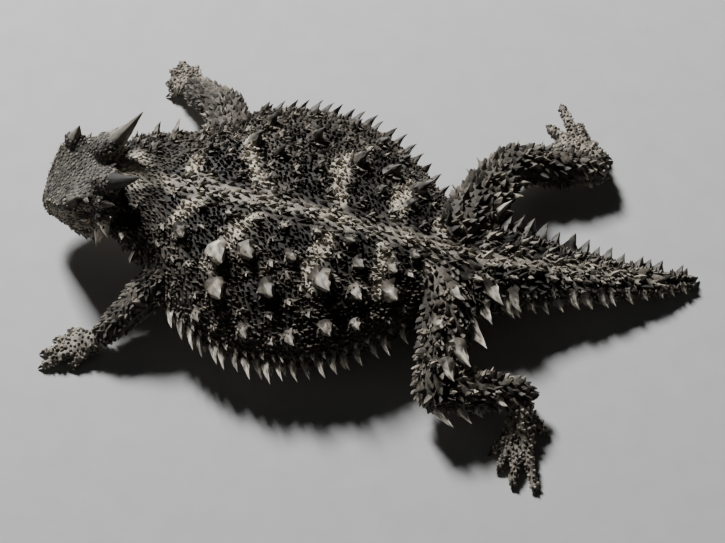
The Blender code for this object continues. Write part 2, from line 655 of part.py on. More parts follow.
def build_head():
    """Head and jaw, parted along the mouth, with lids, nostrils and ear openings, and the eyes."""
    head = head_core()
    jaw = head.copy()
    jaw.data = head.data.copy()
    jaw.name = "jaw"
    bpy.data.collections[GROUP].objects.link(jaw)
    combine(head, [head_slab("mouth_low", MOUTH_LEVEL - CUT_REACH, MOUTH_LEVEL + GAP / 2)], "DIFFERENCE")
    combine(jaw, [head_slab("mouth_high", MOUTH_LEVEL - GAP / 2, MOUTH_LEVEL + CUT_REACH)], "DIFFERENCE")
    combine(jaw, jaw_thorns(), "UNION")
    forward, outward, upward = EYE_PLACE
    eyes, lids, holes = [], [], []
    for side, word in ((1, "left"), (-1, "right")):
        eye = ball("eye_" + word, on_head(EYE_PLACE, side), EYE_RADIUS, 14, 8)
        eyes.append(eye)
        mesh = bmesh.new()
        lid_middle = on_head((forward, outward + LID_OUTWARD, upward), side)
        section = Matrix.Translation((LID_RADIUS, 0.0, 0.0)) @ Matrix.Rotation(math.pi / 2, 4, "X")
        circle = bmesh.ops.create_circle(mesh, cap_ends=False, radius=LID_THICKNESS, segments=5,
                                         matrix=section)
        bmesh.ops.spin(mesh, geom=circle["verts"] + list(mesh.edges), cent=(0, 0, 0), axis=(0, 0, 1),
                       angle=math.tau, steps=LID_SIDES, use_merge=True)
        bmesh.ops.remove_doubles(mesh, verts=mesh.verts, dist=0.001)
        mesh.transform(aimed(lid_middle, lid_middle - on_head(EYE_PLACE, side)))
        lids.append(new_object("lid_" + word, mesh))
        holes.append(ball("nostril_" + word, on_head(NOSTRIL_PLACE, side), NOSTRIL_RADIUS, 6, 4))
        holes.append(ball("ear_" + word, on_head(EAR_PLACE, side), EAR_RADIUS, 8, 6))
    combine(head, lids, "UNION")
    sockets = [swell(eye, "socket") for eye in eyes]
    combine(head, sockets + holes, "DIFFERENCE")
    return head, jaw, eyes


def build_horns(head_whole):
    """Each horn, its root cut back to stand just clear of the head."""
    horns = []
    for kind, (root, tip, radius, bend) in HORNS.items():
        for side, word in ((1, "left"), (-1, "right")):
            horn = horn_form(kind + "_" + word, on_head(root, side), on_head(tip, side), radius, bend)
            combine(horn, [swell(head_whole, "head_room")], "DIFFERENCE")
            horns.append(horn)
    return horns


def build_foot(limb, name, palm):
    """A palm or sole with its digits and claws."""
    foot = tube(name, palm, round_start=True, round_end=True)
    toes = []
    for index, (root, tip) in enumerate(DIGITS[limb]):
        start = Vector(root)
        claw = Vector((tip[0], tip[1], DIGIT_RADIUS * DIGIT_END_HEIGHT))
        end = claw - (claw - start).normalized() * CLAW_LENGTH
        end.z = DIGIT_RADIUS * DIGIT_END_HEIGHT
        knuckle = start.lerp(end, KNUCKLE_SHARE) + Vector((0.0, 0.0, KNUCKLE_RISE))
        inner = start - (end - start).normalized() * DIGIT_SINK
        path = [(*place, DIGIT_RADIUS * wide, DIGIT_RADIUS * high)
                for place, (wide, high) in zip((inner, start, knuckle, end), DIGIT_SHARES)]
        share, rise, half = CLAW_ROOT
        path.append((*(end.lerp(claw, share) + Vector((0.0, 0.0, rise))), half, half))
        path.append((claw.x, claw.y, CLAW_POINT[0], CLAW_POINT[1], CLAW_POINT[1]))
        toes.append(tube(name + "_digit_" + str(index), path, DIGIT_SIDES))
    return combine(foot, toes, "UNION")


def body_room(limb):
    """The trunk with the neck or the tail, grown by the gap, to cut a limb's root back."""
    rear = "rear" in limb
    tables = [(torso_rows(), TORSO_SIDES, TOP_POWER, UNDER_POWER)]
    if rear:
        tables.append((tail_rows(), TAIL_SIDES, TAIL_POWER, TAIL_POWER))
    else:
        tables.append((NECK, NECK_SIDES, NECK_POWER, NECK_POWER))
    return [loft("body_room", body_rings(*table, grow=GAP)) for table in tables]


def build_limb(limb):
    """The lengths of a limb, each cut back from the body and from the length before it."""
    made = []
    names = list(LIMBS[limb])
    upper = tube(limb + "_" + names[0], LIMBS[limb][names[0]], round_end=True)
    combine(upper, limb_thorns(upper.name, LIMBS[limb][names[0]]), "UNION")
    combine(upper, body_room(limb), "DIFFERENCE")
    made.append(upper)
    lower = tube(limb + "_" + names[1], LIMBS[limb][names[1]], round_end=True)
    combine(lower, limb_thorns(lower.name, LIMBS[limb][names[1]]), "UNION")
    combine(lower, body_room(limb) + [swell(upper, "room")], "DIFFERENCE")
    made.append(lower)
    foot = build_foot(limb, limb + "_" + ("hand" if "front" in limb else "foot"), LIMBS[limb][names[2]])
    combine(foot, [swell(other, "room") for other in (upper, lower)], "DIFFERENCE")
    made.append(foot)
    return made


def paint(obj, kind):
    """Gives a node its own material."""
    material = bpy.data.materials.new(obj.name)
    material.use_nodes = True
    shader = material.node_tree.nodes["Principled BSDF"]
    shader.inputs["Base Color"].default_value = (*COLOURS[kind], 1.0)
    shader.inputs["Roughness"].default_value = 0.3 if kind == "eye" else 0.8
    obj.data.materials.clear()
    obj.data.materials.append(material)


def centre(nodes):
    """Moves the model so that the middle of its underside is the origin."""
    corners = [vert.co for obj in nodes for vert in obj.data.vertices]
    low = [min(corner[axis] for corner in corners) for axis in range(3)]
    high = [max(corner[axis] for corner in corners) for axis in range(3)]
    shift = Vector((-(low[0] + high[0]) / 2, -(low[1] + high[1]) / 2, -low[2]))
    for obj in nodes:
        obj.data.transform(Matrix.Translation(shift))


def main():
    """Builds every node."""
    for obj in list(bpy.data.objects):
        bpy.data.objects.remove(obj)
    group = bpy.data.collections.new(GROUP)
    bpy.context.scene.collection.children.link(group)

    torso = loft("torso", body_rings(torso_rows(), TORSO_SIDES, TOP_POWER, UNDER_POWER))
    tail_base = loft("tail_base", body_rings(tail_rows(), TAIL_SIDES, TAIL_POWER, TAIL_POWER))
    tail_tip = loft("tail_tip", body_rings(tail_rows(), TAIL_SIDES, TAIL_POWER, TAIL_POWER))
    before, after = Vector(TAIL[TAIL_BREAK - 1][:2] + (0.0,)), Vector(TAIL[TAIL_BREAK][:2] + (0.0,))
    rearward = (after - before).normalized()
    trim(tail_base, after - rearward * GAP / 2, rearward)
    trim(tail_tip, after + rearward * GAP / 2, -rearward)
    combine(tail_base, [swell(torso, "torso_room")], "DIFFERENCE")
    whole = head_core()
    neck = loft("neck", body_rings(NECK, NECK_SIDES, NECK_POWER, NECK_POWER))
    combine(neck, neck_thorns(), "UNION")
    combine(neck, [swell(whole, "head_room"), swell(torso, "torso_room")], "DIFFERENCE")
    horns = build_horns(whole)
    for horn in horns:
        combine(neck, [swell(horn, "horn_room")], "DIFFERENCE")
    drop(whole)
    head, jaw, eyes = build_head()

    hide = [torso, tail_base, tail_tip, neck, head, jaw]
    limbs = [length for limb in LIMBS for length in build_limb(limb)]
    hide += limbs
    break_x = TAIL[TAIL_BREAK][0]
    combine(torso, back_thorns(), "UNION")
    combine(tail_base, tail_thorns(TAIL[0][0] + 2.0, break_x - SPINE_REACH), "UNION")
    combine(tail_tip, tail_thorns(break_x + SPINE_ROOT, TAIL[-1][0]), "UNION")

    for obj in hide:
        paint(obj, "hide")
    for obj in horns:
        paint(obj, "horn")
    for obj in eyes:
        paint(obj, "eye")
    centre(hide + horns + eyes)


main()
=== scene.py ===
"""Looks of the horned lizard: skin, scales, spines, horns, lids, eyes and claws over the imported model.

The tables are in millimetres in the modeller's own frame: the head looks along -X, the left side lies
towards -Y and +Z is up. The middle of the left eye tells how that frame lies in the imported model.
"""
import math

import bmesh
import bpy
import numpy as np
from mathutils import Matrix, Vector, noise
from mathutils.bvhtree import BVHTree
from mathutils.kdtree import KDTree
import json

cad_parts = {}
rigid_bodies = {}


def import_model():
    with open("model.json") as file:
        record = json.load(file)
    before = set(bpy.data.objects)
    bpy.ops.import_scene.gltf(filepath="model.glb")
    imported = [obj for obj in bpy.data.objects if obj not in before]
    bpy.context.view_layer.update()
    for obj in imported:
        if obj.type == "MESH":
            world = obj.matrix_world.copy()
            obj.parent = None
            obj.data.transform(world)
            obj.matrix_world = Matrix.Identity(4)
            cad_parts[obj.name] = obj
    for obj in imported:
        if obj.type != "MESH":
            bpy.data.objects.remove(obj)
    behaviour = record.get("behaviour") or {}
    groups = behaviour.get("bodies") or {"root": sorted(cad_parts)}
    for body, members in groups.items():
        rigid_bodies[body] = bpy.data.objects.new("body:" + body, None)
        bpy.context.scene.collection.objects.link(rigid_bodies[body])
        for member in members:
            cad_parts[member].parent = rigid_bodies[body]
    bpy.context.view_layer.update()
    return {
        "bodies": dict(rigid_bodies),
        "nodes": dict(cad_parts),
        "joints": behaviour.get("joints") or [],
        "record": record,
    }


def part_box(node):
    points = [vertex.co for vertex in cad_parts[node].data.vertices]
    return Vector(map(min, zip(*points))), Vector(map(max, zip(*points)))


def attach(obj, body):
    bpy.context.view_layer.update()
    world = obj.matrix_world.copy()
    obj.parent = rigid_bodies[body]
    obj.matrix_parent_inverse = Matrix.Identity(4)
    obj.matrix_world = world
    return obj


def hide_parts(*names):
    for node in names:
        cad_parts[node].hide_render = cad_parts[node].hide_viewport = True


MM = 0.001
SEED = 7
BODY = "root"
ABOVE = Vector((0.0, 0.0, 1.0))
SIDE_WORDS = ((1, "left"), (-1, "right"))

# Trunk: x, half width, height of the widest line, top, underside
TORSO = (
    (-30.0, 18.4, 10.4, 18.6, 2.6), (-27.0, 21.4, 9.8, 18.9, 1.6), (-23.0, 25.0, 9.2, 19.2, 0.6),
    (-18.0, 28.5, 8.8, 19.5, -0.4), (-12.0, 31.2, 8.5, 19.7, -0.9), (-5.0, 32.6, 8.4, 19.8, -1.0),
    (2.0, 32.2, 8.4, 19.6, -1.0), (9.0, 30.2, 8.4, 19.0, -0.9), (15.0, 27.0, 8.5, 18.2, -0.6),
    (21.0, 22.1, 8.6, 17.2, -0.1), (26.0, 17.4, 8.7, 16.2, 0.8), (30.0, 13.6, 8.6, 15.1, 1.6),
    (33.0, 11.6, 8.4, 14.2, 2.0), (35.6, 10.4, 8.1, 13.4, 2.2),
)
# Neck: x, y, half width, height of the widest line, top, underside, lean in degrees
NECK = (
    (-41.6, -1.0, 9.8, 15.6, 20.4, 10.6, 22.0), (-39.6, -0.8, 11.6, 14.8, 20.6, 9.0, 18.0),
    (-37.0, -0.5, 13.6, 13.6, 20.4, 6.8, 13.0), (-33.6, -0.2, 15.9, 12.0, 19.6, 4.6, 6.0),
    (-28.6, 0.0, 18.8, 10.4, 18.5, 2.8, 0.0),
)
NECK_INNER = (-23.0, 0.0, 20.0, 9.6, 18.4, 2.4, 0.0)
# Tail: x, y, half width, height of the widest line, top, underside
TAIL_INNER = (27.0, -0.6, 13.6, 8.5, 15.4, 2.0)
TAIL = (
    (34.4, 0.4, 11.6, 8.1, 13.5, 2.3), (40.0, 2.4, 10.7, 7.7, 12.8, 2.4), (45.0, 3.9, 9.2, 7.1, 11.6, 2.4),
    (51.0, 5.2, 7.4, 6.4, 10.0, 2.2), (57.0, 6.4, 6.0, 5.6, 8.5, 1.8), (63.0, 7.7, 4.8, 4.7, 7.1, 1.3),
    (69.0, 9.2, 3.7, 3.8, 5.7, 0.8), (75.0, 11.2, 2.6, 2.8, 4.2, 0.2), (80.0, 13.3, 1.5, 1.6, 2.6, -0.3),
    (82.2, 14.4, 0.6, 0.9, 1.4, 0.2),
)
SIDES = {"trunk": 28, "neck": 24, "tail": 18, "limb": 14, "digit": 8}
# How square a section is above and below its widest line
POWERS = {"trunk": (1.75, 2.3), "neck": (2.0, 2.0), "tail": (1.9, 1.9)}

# Head frame: place of the crown's middle, how far the snout is bowed and how far the head is turned left
CROWN = (-48.2, -2.9, 19.6)
BOW = 23.0
TURN = 15.0
# Head: forward place, then half width and height of brow, orbit, lip, jaw edge, and top, underside
HEAD = (
    (12.0, 0.9, -6.2, 1.6, -6.4, 2.0, -6.9, 1.6, -7.7, -5.9, -8.2),
    (10.6, 1.9, -5.0, 2.8, -5.6, 3.5, -6.9, 2.9, -8.6, -4.3, -9.2),
    (8.0, 3.7, -2.1, 4.5, -4.2, 5.6, -7.0, 5.0, -9.4, -2.0, -10.2),
    (5.2, 6.7, 0.1, 6.3, -3.4, 8.0, -7.4, 8.0, -10.2, -0.6, -11.1),
    (2.4, 8.9, 1.1, 7.6, -3.2, 9.8, -7.5, 10.1, -10.6, 0.0, -11.8),
    (-0.8, 8.3, 1.4, 8.6, -3.0, 10.6, -7.0, 10.9, -10.2, 0.2, -11.9),
    (-3.4, 6.8, 0.0, 9.6, -2.8, 10.9, -6.4, 11.0, -9.4, 0.1, -11.5),
    (-5.8, 6.2, -0.5, 10.0, -2.8, 10.9, -5.8, 10.6, -8.6, -0.1, -10.9),
    (-7.8, 5.6, -1.2, 9.0, -3.4, 9.8, -5.6, 9.2, -7.9, -0.8, -10.0),
    (-9.0, 4.6, -2.7, 6.8, -4.3, 7.4, -5.9, 6.8, -7.5, -2.5, -8.8),
)
# How much further out and up the cage of the brow stands, since smoothing rounds it off
BROW_SHARP = (0.6, 0.45)
# Half width of the brow from which it does
BROW_FROM = 3.0
# Extra points of the head's cage: share of the width, and shares of the height towards brow and jaw edge
CAGE_EDGE = 0.55
CAGE_TOP = 0.25
CAGE_UNDER = 0.2
# How far the cage is drawn out against smoothing, the head's reach, and how far the head is set down
CAGE_DRAW = 0.45
HEAD_REACH = 9.0
HEAD_DROP = 0.1
# Height of the mouth's line and how far back it runs
MOUTH_LEVEL = -7.9
MOUTH_END = -5.4
EYE_PLACE = (0.1, 7.6, -4.8)
EYE_RADIUS = 2.0
LID_DEPTH = 0.5
# Lids: half opening across and up in degrees and how square it is, outer edge in degrees from the gaze,
# points round, height of the folds against the depth, and how pale they are against the face
LID_OPENING = (40.0, 24.0)
LID_POWER = 1.6
LID_OUTER = 92.0
LID_SIDES = 40
LID_FOLD = 1.6
LID_TONE = 2.4
# How far the eyes look ahead, outward and up
GAZE = (0.24, 0.95, 0.12)
# Lids: share of the way from the open edge to the outer one, and rise of the fold
LID_PROFILE = (
    (1.0, -0.3), (0.8, 0.34), (0.62, 0.62), (0.5, 0.48), (0.36, 0.62), (0.24, 0.46), (0.12, 0.56),
    (0.04, 0.5), (0.0, 0.34), (0.0, 0.16), (0.03, 0.02),
)
# Rows of scales on the lids: share of the same way, and size
LID_SCALES = ((0.05, 0.42), (0.17, 0.5), (0.31, 0.56), (0.47, 0.62), (0.64, 0.68))
NOSTRIL_PLACE = (10.4, 2.2, -3.9)
EAR_PLACE = (-5.6, 10.7, -6.6)
# Pits of the head: place, reach and depth; their near-black colour is painted shade
PITS = {"nostril": (NOSTRIL_PLACE, 0.55, 0.5), "ear": (EAR_PLACE, 1.15, 0.8)}
# Spines of the jaw's edge: place along the head, length
JAW_SPINES = (
    (9.6, 0.6), (8.4, 0.8), (6.8, 1.0), (5.1, 1.2), (3.3, 1.3), (1.4, 1.5), (-0.6, 1.6),
    (-2.6, 1.6), (-4.6, 1.4),
)
# Leans in the head frame: forward, outward and up
JAW_SPINE_LEAN = (-0.35, 1.0, -0.2)
# Keeled plates of the brow: place along the head, length
BROW_PLATES = (
    (10.2, 0.7), (9.1, 0.8), (8.0, 0.9), (6.9, 1.0), (5.8, 1.1), (4.7, 1.2), (3.7, 1.3), (-1.4, 1.1),
)
BROW_LEAN = (-1.0, 0.5, 0.1)
# Their place as a share of the brow's half width and a depth below its edge, and their share of the length
BROW_INSET = (0.97, 0.2)
BROW_LENGTH = 0.7
# Keeled plates of the temples: place in the head frame on the left side, length
TEMPLE_PLATES = (
    (-6.6, 9.4, -3.6, 1.3), (-6.2, 10.2, -5.6, 1.1), (-4.4, 10.4, -9.0, 1.4), (-7.4, 6.8, -1.2, 1.4),
    (-7.9, 2.0, -1.0, 1.5), (-7.9, 0.0, -0.9, 1.3), (-2.4, 7.9, 0.0, 1.2),
)
# Their lean: forward, outward for each millimetre from the middle, and up
TEMPLE_LEAN = (-0.9, 0.12, 0.35)

# Horns: root and tip in the head frame on the left side, radius at the root, rise of the bend
HORNS = {
    "horn_occipital": ((-5.5, 3.8, -0.8), (-16.6, 8.3, 3.2), 2.9, 0.4),
    "horn_brow": ((1.0, 8.0, 0.4), (-1.8, 9.2, 3.3), 2.1, 0.1),
    "horn_temple_rear": ((-5.2, 7.8, -1.8), (-8.4, 10.0, -1.5), 1.6, 0.2),
    "horn_temple_middle": ((-3.9, 9.4, -4.4), (-4.3, 13.9, -6.5), 2.0, 0.2),
    "horn_temple_front": ((-2.0, 9.6, -7.6), (-0.5, 13.8, -8.6), 1.7, 0.1),
}
# Painted shade darkens the left occipital, brow and rear temple horns; painted light pales the left middle
# and front temple horns
HORN_PAINTED_SHADE_AND_LIGHT = {
    "horn_occipital_left": 0.12, "horn_brow_left": 0.4, "horn_temple_rear_left": 0.4,
    "horn_temple_middle_left": 4.6, "horn_temple_front_left": 4.6,
}
# Share of a horn's length and of its radius there
HORN_PROFILE = ((0.0, 1.0), (0.2, 0.82), (0.45, 0.57), (0.7, 0.32), (0.9, 0.12), (1.0, 0.035))
# Share of a horn's length and how wide the skin that climbs its foot stands there against the horn
HORN_FOOT = ((-0.1, 0.8), (0.0, 1.14), (0.1, 1.22), (0.2, 1.2), (0.3, 1.08), (0.42, 0.75))
# How much of the crown's colour a horn's foot takes, points round and steps along
HORN_FOOT_TINT = 0.8
HORN_SIDES = 22
HORN_STEPS = 20
# Depth, number and twist of the grooves along a horn, its unevenness, and height and pace of its rings
HORN_GROOVE = 0.05
HORN_GROOVES = 7.0
HORN_TWIST = 0.1
HORN_UNEVEN = 0.1
HORN_RING = 0.015
HORN_RING_TURN = 2.6

# Limbs, from the body outward: x, y, z, half width and half height
LIMBS = {
    "left_front": {
        "upper_arm": (
            (-20.0, -11.0, 10.5, 5.2, 4.8), (-25.2, -18.6, 9.8, 4.8, 4.4), (-29.2, -23.4, 8.6, 4.2, 3.9),
        ),
        "forearm": (
            (-28.4, -22.6, 8.6, 4.0, 3.7), (-32.2, -27.6, 6.4, 3.4, 3.2), (-35.0, -31.0, 4.4, 2.6, 2.5),
        ),
        "hand": ((-34.2, -30.2, 4.4, 2.4, 2.4), (-36.6, -32.2, 3.0, 2.9, 2.1), (-39.6, -33.4, 1.9, 3.4, 1.7)),
    },
    "right_front": {
        "upper_arm": (
            (-19.0, 15.0, 10.0, 5.4, 4.8), (-22.6, 22.6, 9.6, 5.2, 4.5), (-25.6, 28.6, 8.8, 4.8, 4.2),
        ),
        "forearm": ((-25.0, 27.6, 8.8, 4.5, 4.0), (-29.6, 31.0, 7.4, 4.3, 3.7), (-33.6, 33.6, 5.4, 3.3, 2.9)),
        "hand": ((-32.8, 33.0, 5.4, 2.8, 2.6), (-35.6, 35.2, 3.8, 3.1, 2.3), (-37.4, 37.4, 2.4, 3.3, 1.9)),
    },
    "left_rear": {
        "thigh": ((30.0, -5.0, 10.0, 6.2, 5.4), (34.0, -13.0, 9.8, 5.8, 5.2), (34.8, -21.6, 8.8, 5.3, 4.8),
                  (35.2, -29.4, 7.2, 4.5, 4.3)),
        "shank": ((35.2, -29.0, 7.0, 4.0, 3.9), (39.2, -28.2, 6.8, 4.4, 4.1), (46.0, -26.0, 6.3, 4.0, 3.6),
                  (52.4, -24.0, 5.0, 3.0, 2.8)),
        "foot": ((51.6, -24.2, 5.0, 2.7, 2.6), (53.2, -28.0, 3.8, 2.9, 2.4), (54.0, -33.2, 2.2, 3.6, 1.8)),
    },
    "right_rear": {
        "thigh": ((29.0, 5.0, 10.0, 6.2, 5.4), (33.0, 13.2, 9.4, 5.8, 5.2), (35.4, 22.2, 8.2, 5.2, 4.8),
                  (37.4, 29.6, 7.0, 4.4, 4.2)),
        "shank": ((37.2, 29.6, 6.8, 3.9, 3.9), (41.0, 31.5, 6.2, 4.6, 4.2), (49.0, 32.7, 5.4, 4.2, 3.8),
                  (56.0, 34.8, 4.6, 3.1, 2.9)),
        "foot": ((55.6, 34.0, 4.6, 2.8, 2.7), (54.4, 37.8, 3.8, 3.0, 2.4), (51.4, 41.4, 2.6, 3.7, 1.9)),
    },
}
# Digits: root x, y, z and claw tip x, y on the floor
DIGITS = {
    "left_front": (
        ((-38.6, -31.2, 2.4), (-44.0, -29.6)), ((-39.8, -32.2, 2.2), (-46.2, -32.8)),
        ((-40.2, -33.6, 2.0), (-47.8, -36.8)), ((-39.8, -34.8, 1.9), (-47.0, -40.2)),
        ((-38.4, -35.2, 1.9), (-40.6, -39.2)),
    ),
    "right_front": (
        ((-35.4, 39.0, 2.6), (-36.8, 43.8)), ((-36.8, 39.2, 2.5), (-40.8, 44.0)),
        ((-38.0, 38.6, 2.4), (-42.4, 41.2)), ((-38.6, 37.0, 2.4), (-42.2, 37.4)),
        ((-37.2, 35.4, 2.6), (-41.0, 33.8)),
    ),
    "left_rear": (
        ((51.6, -33.2, 2.1), (48.4, -37.6)), ((52.6, -34.8, 2.0), (51.2, -41.4)),
        ((54.2, -35.6, 2.0), (54.9, -44.2)), ((56.0, -35.2, 2.0), (59.8, -44.0)),
        ((55.4, -28.0, 3.2), (59.6, -30.2)),
    ),
    "right_rear": (
        ((54.2, 40.6, 2.8), (58.4, 41.4)), ((50.6, 43.4, 2.4), (49.6, 49.4)),
        ((49.6, 43.2, 2.4), (44.2, 53.4)), ((48.4, 42.2, 2.4), (42.2, 46.8)),
        ((48.0, 40.6, 2.6), (44.0, 41.6)),
    ),
}
DIGIT_RADIUS = 1.28
# Half width and half height against the radius, from inside the foot to the root of the claw
DIGIT_SHARES = ((0.98, 0.92), (1.04, 1.0), (0.82, 0.84), (0.96, 0.96), (0.74, 0.76), (0.86, 0.74))
# Height of its end against the radius, how far it starts inside the foot, depth of its scales, and place and
# rise of the knuckle
DIGIT_END_HEIGHT = 0.62
DIGIT_SINK = 1.6
DIGIT_DEPTH = 0.08
KNUCKLE_SHARE = 0.45
KNUCKLE_RISE = 0.35
# Domed ends of limbs and digits: how far out and how wide against the end's half height and width
END_DOME = ((0.55, 0.84), (0.9, 0.44))
# Claws: length, points round, steps along, how far they start inside the digit, height of tip and bow, half
# width at the root and at the tip, and width against height
CLAW_LENGTH = 1.5
CLAW_SIDES = 10
CLAW_STEPS = 9
CLAW_SINK = 0.3
CLAW_HEIGHT = 0.16
CLAW_WIDTH = 0.62
CLAW_TIP = 0.035
CLAW_FLAT = 0.8

# Fringe rows: number in the row, length, root radius, tilt below level in degrees, share of the underside
FRINGE = ((21, 6.3, 1.15, 1.0, 0.0), (21, 3.4, 0.8, 34.0, -0.32), (26, 1.9, 0.66, -18.0, 0.16))
FRINGE_REACH = (-25.5, 26.5)
# How far the second and third rows stand in, sweep to the rear, how far a spine follows the edge, and how
# much shorter the end ones are
FRINGE_INSET = 0.04
FRINGE_SWEEP = 0.66
FRINGE_FOLLOW = 0.3
FRINGE_TAPER = 0.28
# Set lean and share of the length, for 1 on the right and for -1 on the left
FRINGE_SIDES = {1: ((0.55, 1.0, 0.6), 0.62), -1: ((0.42, -1.0, -0.05), 0.79)}
# Great spines of the back on each side: x, share of the half width, length
BACK_SPINES = (
    (-23.5, 0.44, 3.2), (-14.5, 0.48, 5.4), (-8.6, 0.4, 4.4), (0.4, 0.36, 3.4), (14.2, 0.34, 3.2),
    (20.8, 0.36, 3.2), (27.0, 0.38, 3.0), (-12.8, 0.7, 5.0), (-2.5, 0.6, 5.0), (7.9, 0.5, 6.4),
    (15.1, 0.57, 4.6), (21.6, 0.6, 4.8), (28.2, 0.66, 4.0), (-22.8, 0.78, 3.8), (-15.7, 0.9, 4.4),
    (-5.3, 0.87, 4.4), (4.2, 0.87, 4.6), (10.9, 0.82, 4.2), (16.4, 0.82, 3.8), (-21.0, 0.16, 2.2),
    (-15.0, 0.17, 2.4), (-9.0, 0.16, 2.4), (-3.0, 0.17, 2.4), (4.0, 0.16, 2.6), (11.0, 0.17, 2.6),
    (18.0, 0.18, 2.4), (24.6, 0.2, 2.4),
)
# Share of the half width beyond which they are shorter, by how much, and how much shorter the right ones are
LOW_SPINE_FROM = 0.75
LOW_SPINE_SHARE = 0.78
FAR_SPINE_SHARE = 0.8
# Lean of the back's spines on each side, how far the left ones follow the skin, and the share of the half
# width from which these lean outward in full
RIGHT_LEAN = (0.5, 0.1, 0.0)
LEFT_LEAN = (0.5, -0.7, 0.1)
LEFT_FOLLOW = 0.5
LEAN_FULL = 0.45
# Lesser spines: tries, room between two, first x and how far on, widest share, least length and how much more
SMALL_TRIES = 900
SMALL_ROOM = 3.0
SMALL_REACH = (-28.0, 62.0)
SMALL_SPREAD = 0.92
SMALL_LENGTH = (1.1, 0.9)
# Neck spines on each side: x, share of the half width, length
NECK_SPINES = (
    (-35.8, 0.9, 3.2), (-32.6, 0.97, 3.6), (-34.4, 0.5, 2.8), (-38.6, 0.8, 2.2), (-37.0, 0.62, 2.0),
    (-40.6, 0.55, 1.7), (-31.8, 0.72, 2.4), (-39.6, 0.96, 2.2),
)
# Their lean to the rear and outward
NECK_LEAN = (0.35, 0.5)
# Tail rows: number, first and last x, length at the first and last; share of the half width
TAIL_EDGES = (((16, 38.0, 80.0, 4.6, 2.3), 0.985), ((12, 37.5, 66.0, 2.4, 1.1), 0.84))
TAIL_TOPS = (((11, 37.0, 74.0, 2.9, 1.1), 0.5), ((12, 38.5, 70.0, 2.1, 1.0), 0.22))
# Lean of the edges' spines on each side, shares of the half width from which rows count as edge and as rim,
# and how far the top's spines lean to the rear and outward
TAIL_LEANS = {1: (0.25, 1.0, 0.7), -1: (0.7, -1.0, -0.1)}
TAIL_EDGE_FROM = 0.8
TAIL_RIM_FROM = 0.9
TAIL_TOP_LEAN = (0.8, 0.25)
# How much stouter than in their table the next ones are
LONE_WIDTH = 1.3
# Great spines that stand off the near leg, the near knee and the tail's root: place, lean, length, radius
LONE_SPINES = (
    ((39.7, -14.0, 10.0), (0.85, -0.8, 0.1), 6.4, 1.35), ((38.0, -20.9, 12.0), (0.75, -0.9, 0.2), 5.8, 1.25),
    ((37.0, -25.6, 12.0), (0.6, -1.0, 0.3), 4.6, 1.2), ((33.0, -17.0, 13.6), (0.5, -0.9, 0.7), 3.2, 1.1),
    ((36.4, -32.0, 7.0), (0.85, -0.8, 0.05), 5.8, 1.3), ((41.2, -31.6, 6.8), (0.8, -0.85, 0.05), 4.6, 1.15),
    ((44.4, -30.6, 6.4), (0.8, -0.9, 0.0), 3.0, 0.9), ((48.6, -28.4, 7.6), (0.8, -0.7, 0.5), 3.0, 1.0),
    ((41.0, -4.6, 11.0), (0.9, -0.9, 0.1), 5.2, 1.5), ((45.6, -4.2, 9.4), (0.8, -1.0, 0.0), 4.6, 1.3),
    ((39.4, 13.4, 11.0), (0.7, 0.8, 0.6), 5.0, 1.2), ((34.0, -9.4, 13.4), (0.8, -0.7, 0.5), 4.2, 1.4),
)
# Limb spines: place round the limb in degrees, shares of its length, length
LIMB_SPINES = {
    "left_rear_thigh": ((100.0, (0.5, 0.66, 0.82), 2.4), (140.0, (0.56, 0.74, 0.9), 2.0)),
    "right_rear_thigh": (
        (14.0, (0.46, 0.66, 0.84), 2.4), (166.0, (0.44, 0.62, 0.8), 3.4), (90.0, (0.6, 0.8), 2.0),
    ),
    "left_rear_shank": (
        (20.0, (0.3, 0.5, 0.68), 2.0), (60.0, (0.2, 0.4, 0.6), 2.0), (120.0, (0.3, 0.5, 0.7), 2.2),
    ),
    "right_rear_shank": (
        (14.0, (0.24, 0.44, 0.64), 2.0), (190.0, (0.3, 0.5), 2.0), (90.0, (0.3, 0.5, 0.7), 1.8),
    ),
    "left_front_upper_arm": ((20.0, (0.55, 0.8), 1.8), (80.0, (0.6, 0.85), 1.6)),
    "right_front_upper_arm": ((14.0, (0.55, 0.8), 1.8), (80.0, (0.6, 0.85), 1.6)),
}
# How far a limb's spine leans along the limb and up
LIMB_LEAN = (0.35, 0.15)
# Radius of a spine against its length
STOUTNESS = {
    "back": 0.44, "back small": 0.46, "neck": 0.34, "tail": 0.46, "tail far": 0.6, "limb": 0.33, "jaw": 0.42,
    "brow": 0.55, "temple": 0.5,
}
# Spines: steps along one, its width at each step, and how sharp its three edges are
SPINE_STEPS = (-0.2, 0.0, 0.12, 0.28, 0.46, 0.64, 0.82, 0.94, 1.0)
SPINE_WIDTHS = {
    "slim": (1.14, 1.0, 0.83, 0.65, 0.48, 0.32, 0.165, 0.07, 0.015),
    "domed": (1.3, 1.06, 0.94, 0.8, 0.62, 0.42, 0.22, 0.1, 0.02),
}
SPINE_EDGES = {"slim": 0.18, "domed": 0.1}
SPINE_SIDES = 12
# Ridges of a spine: height, number round it, pace along it
SPINE_RIDGES = ((0.09, 5.0, 6.0), (0.1, 2.0, 11.0))
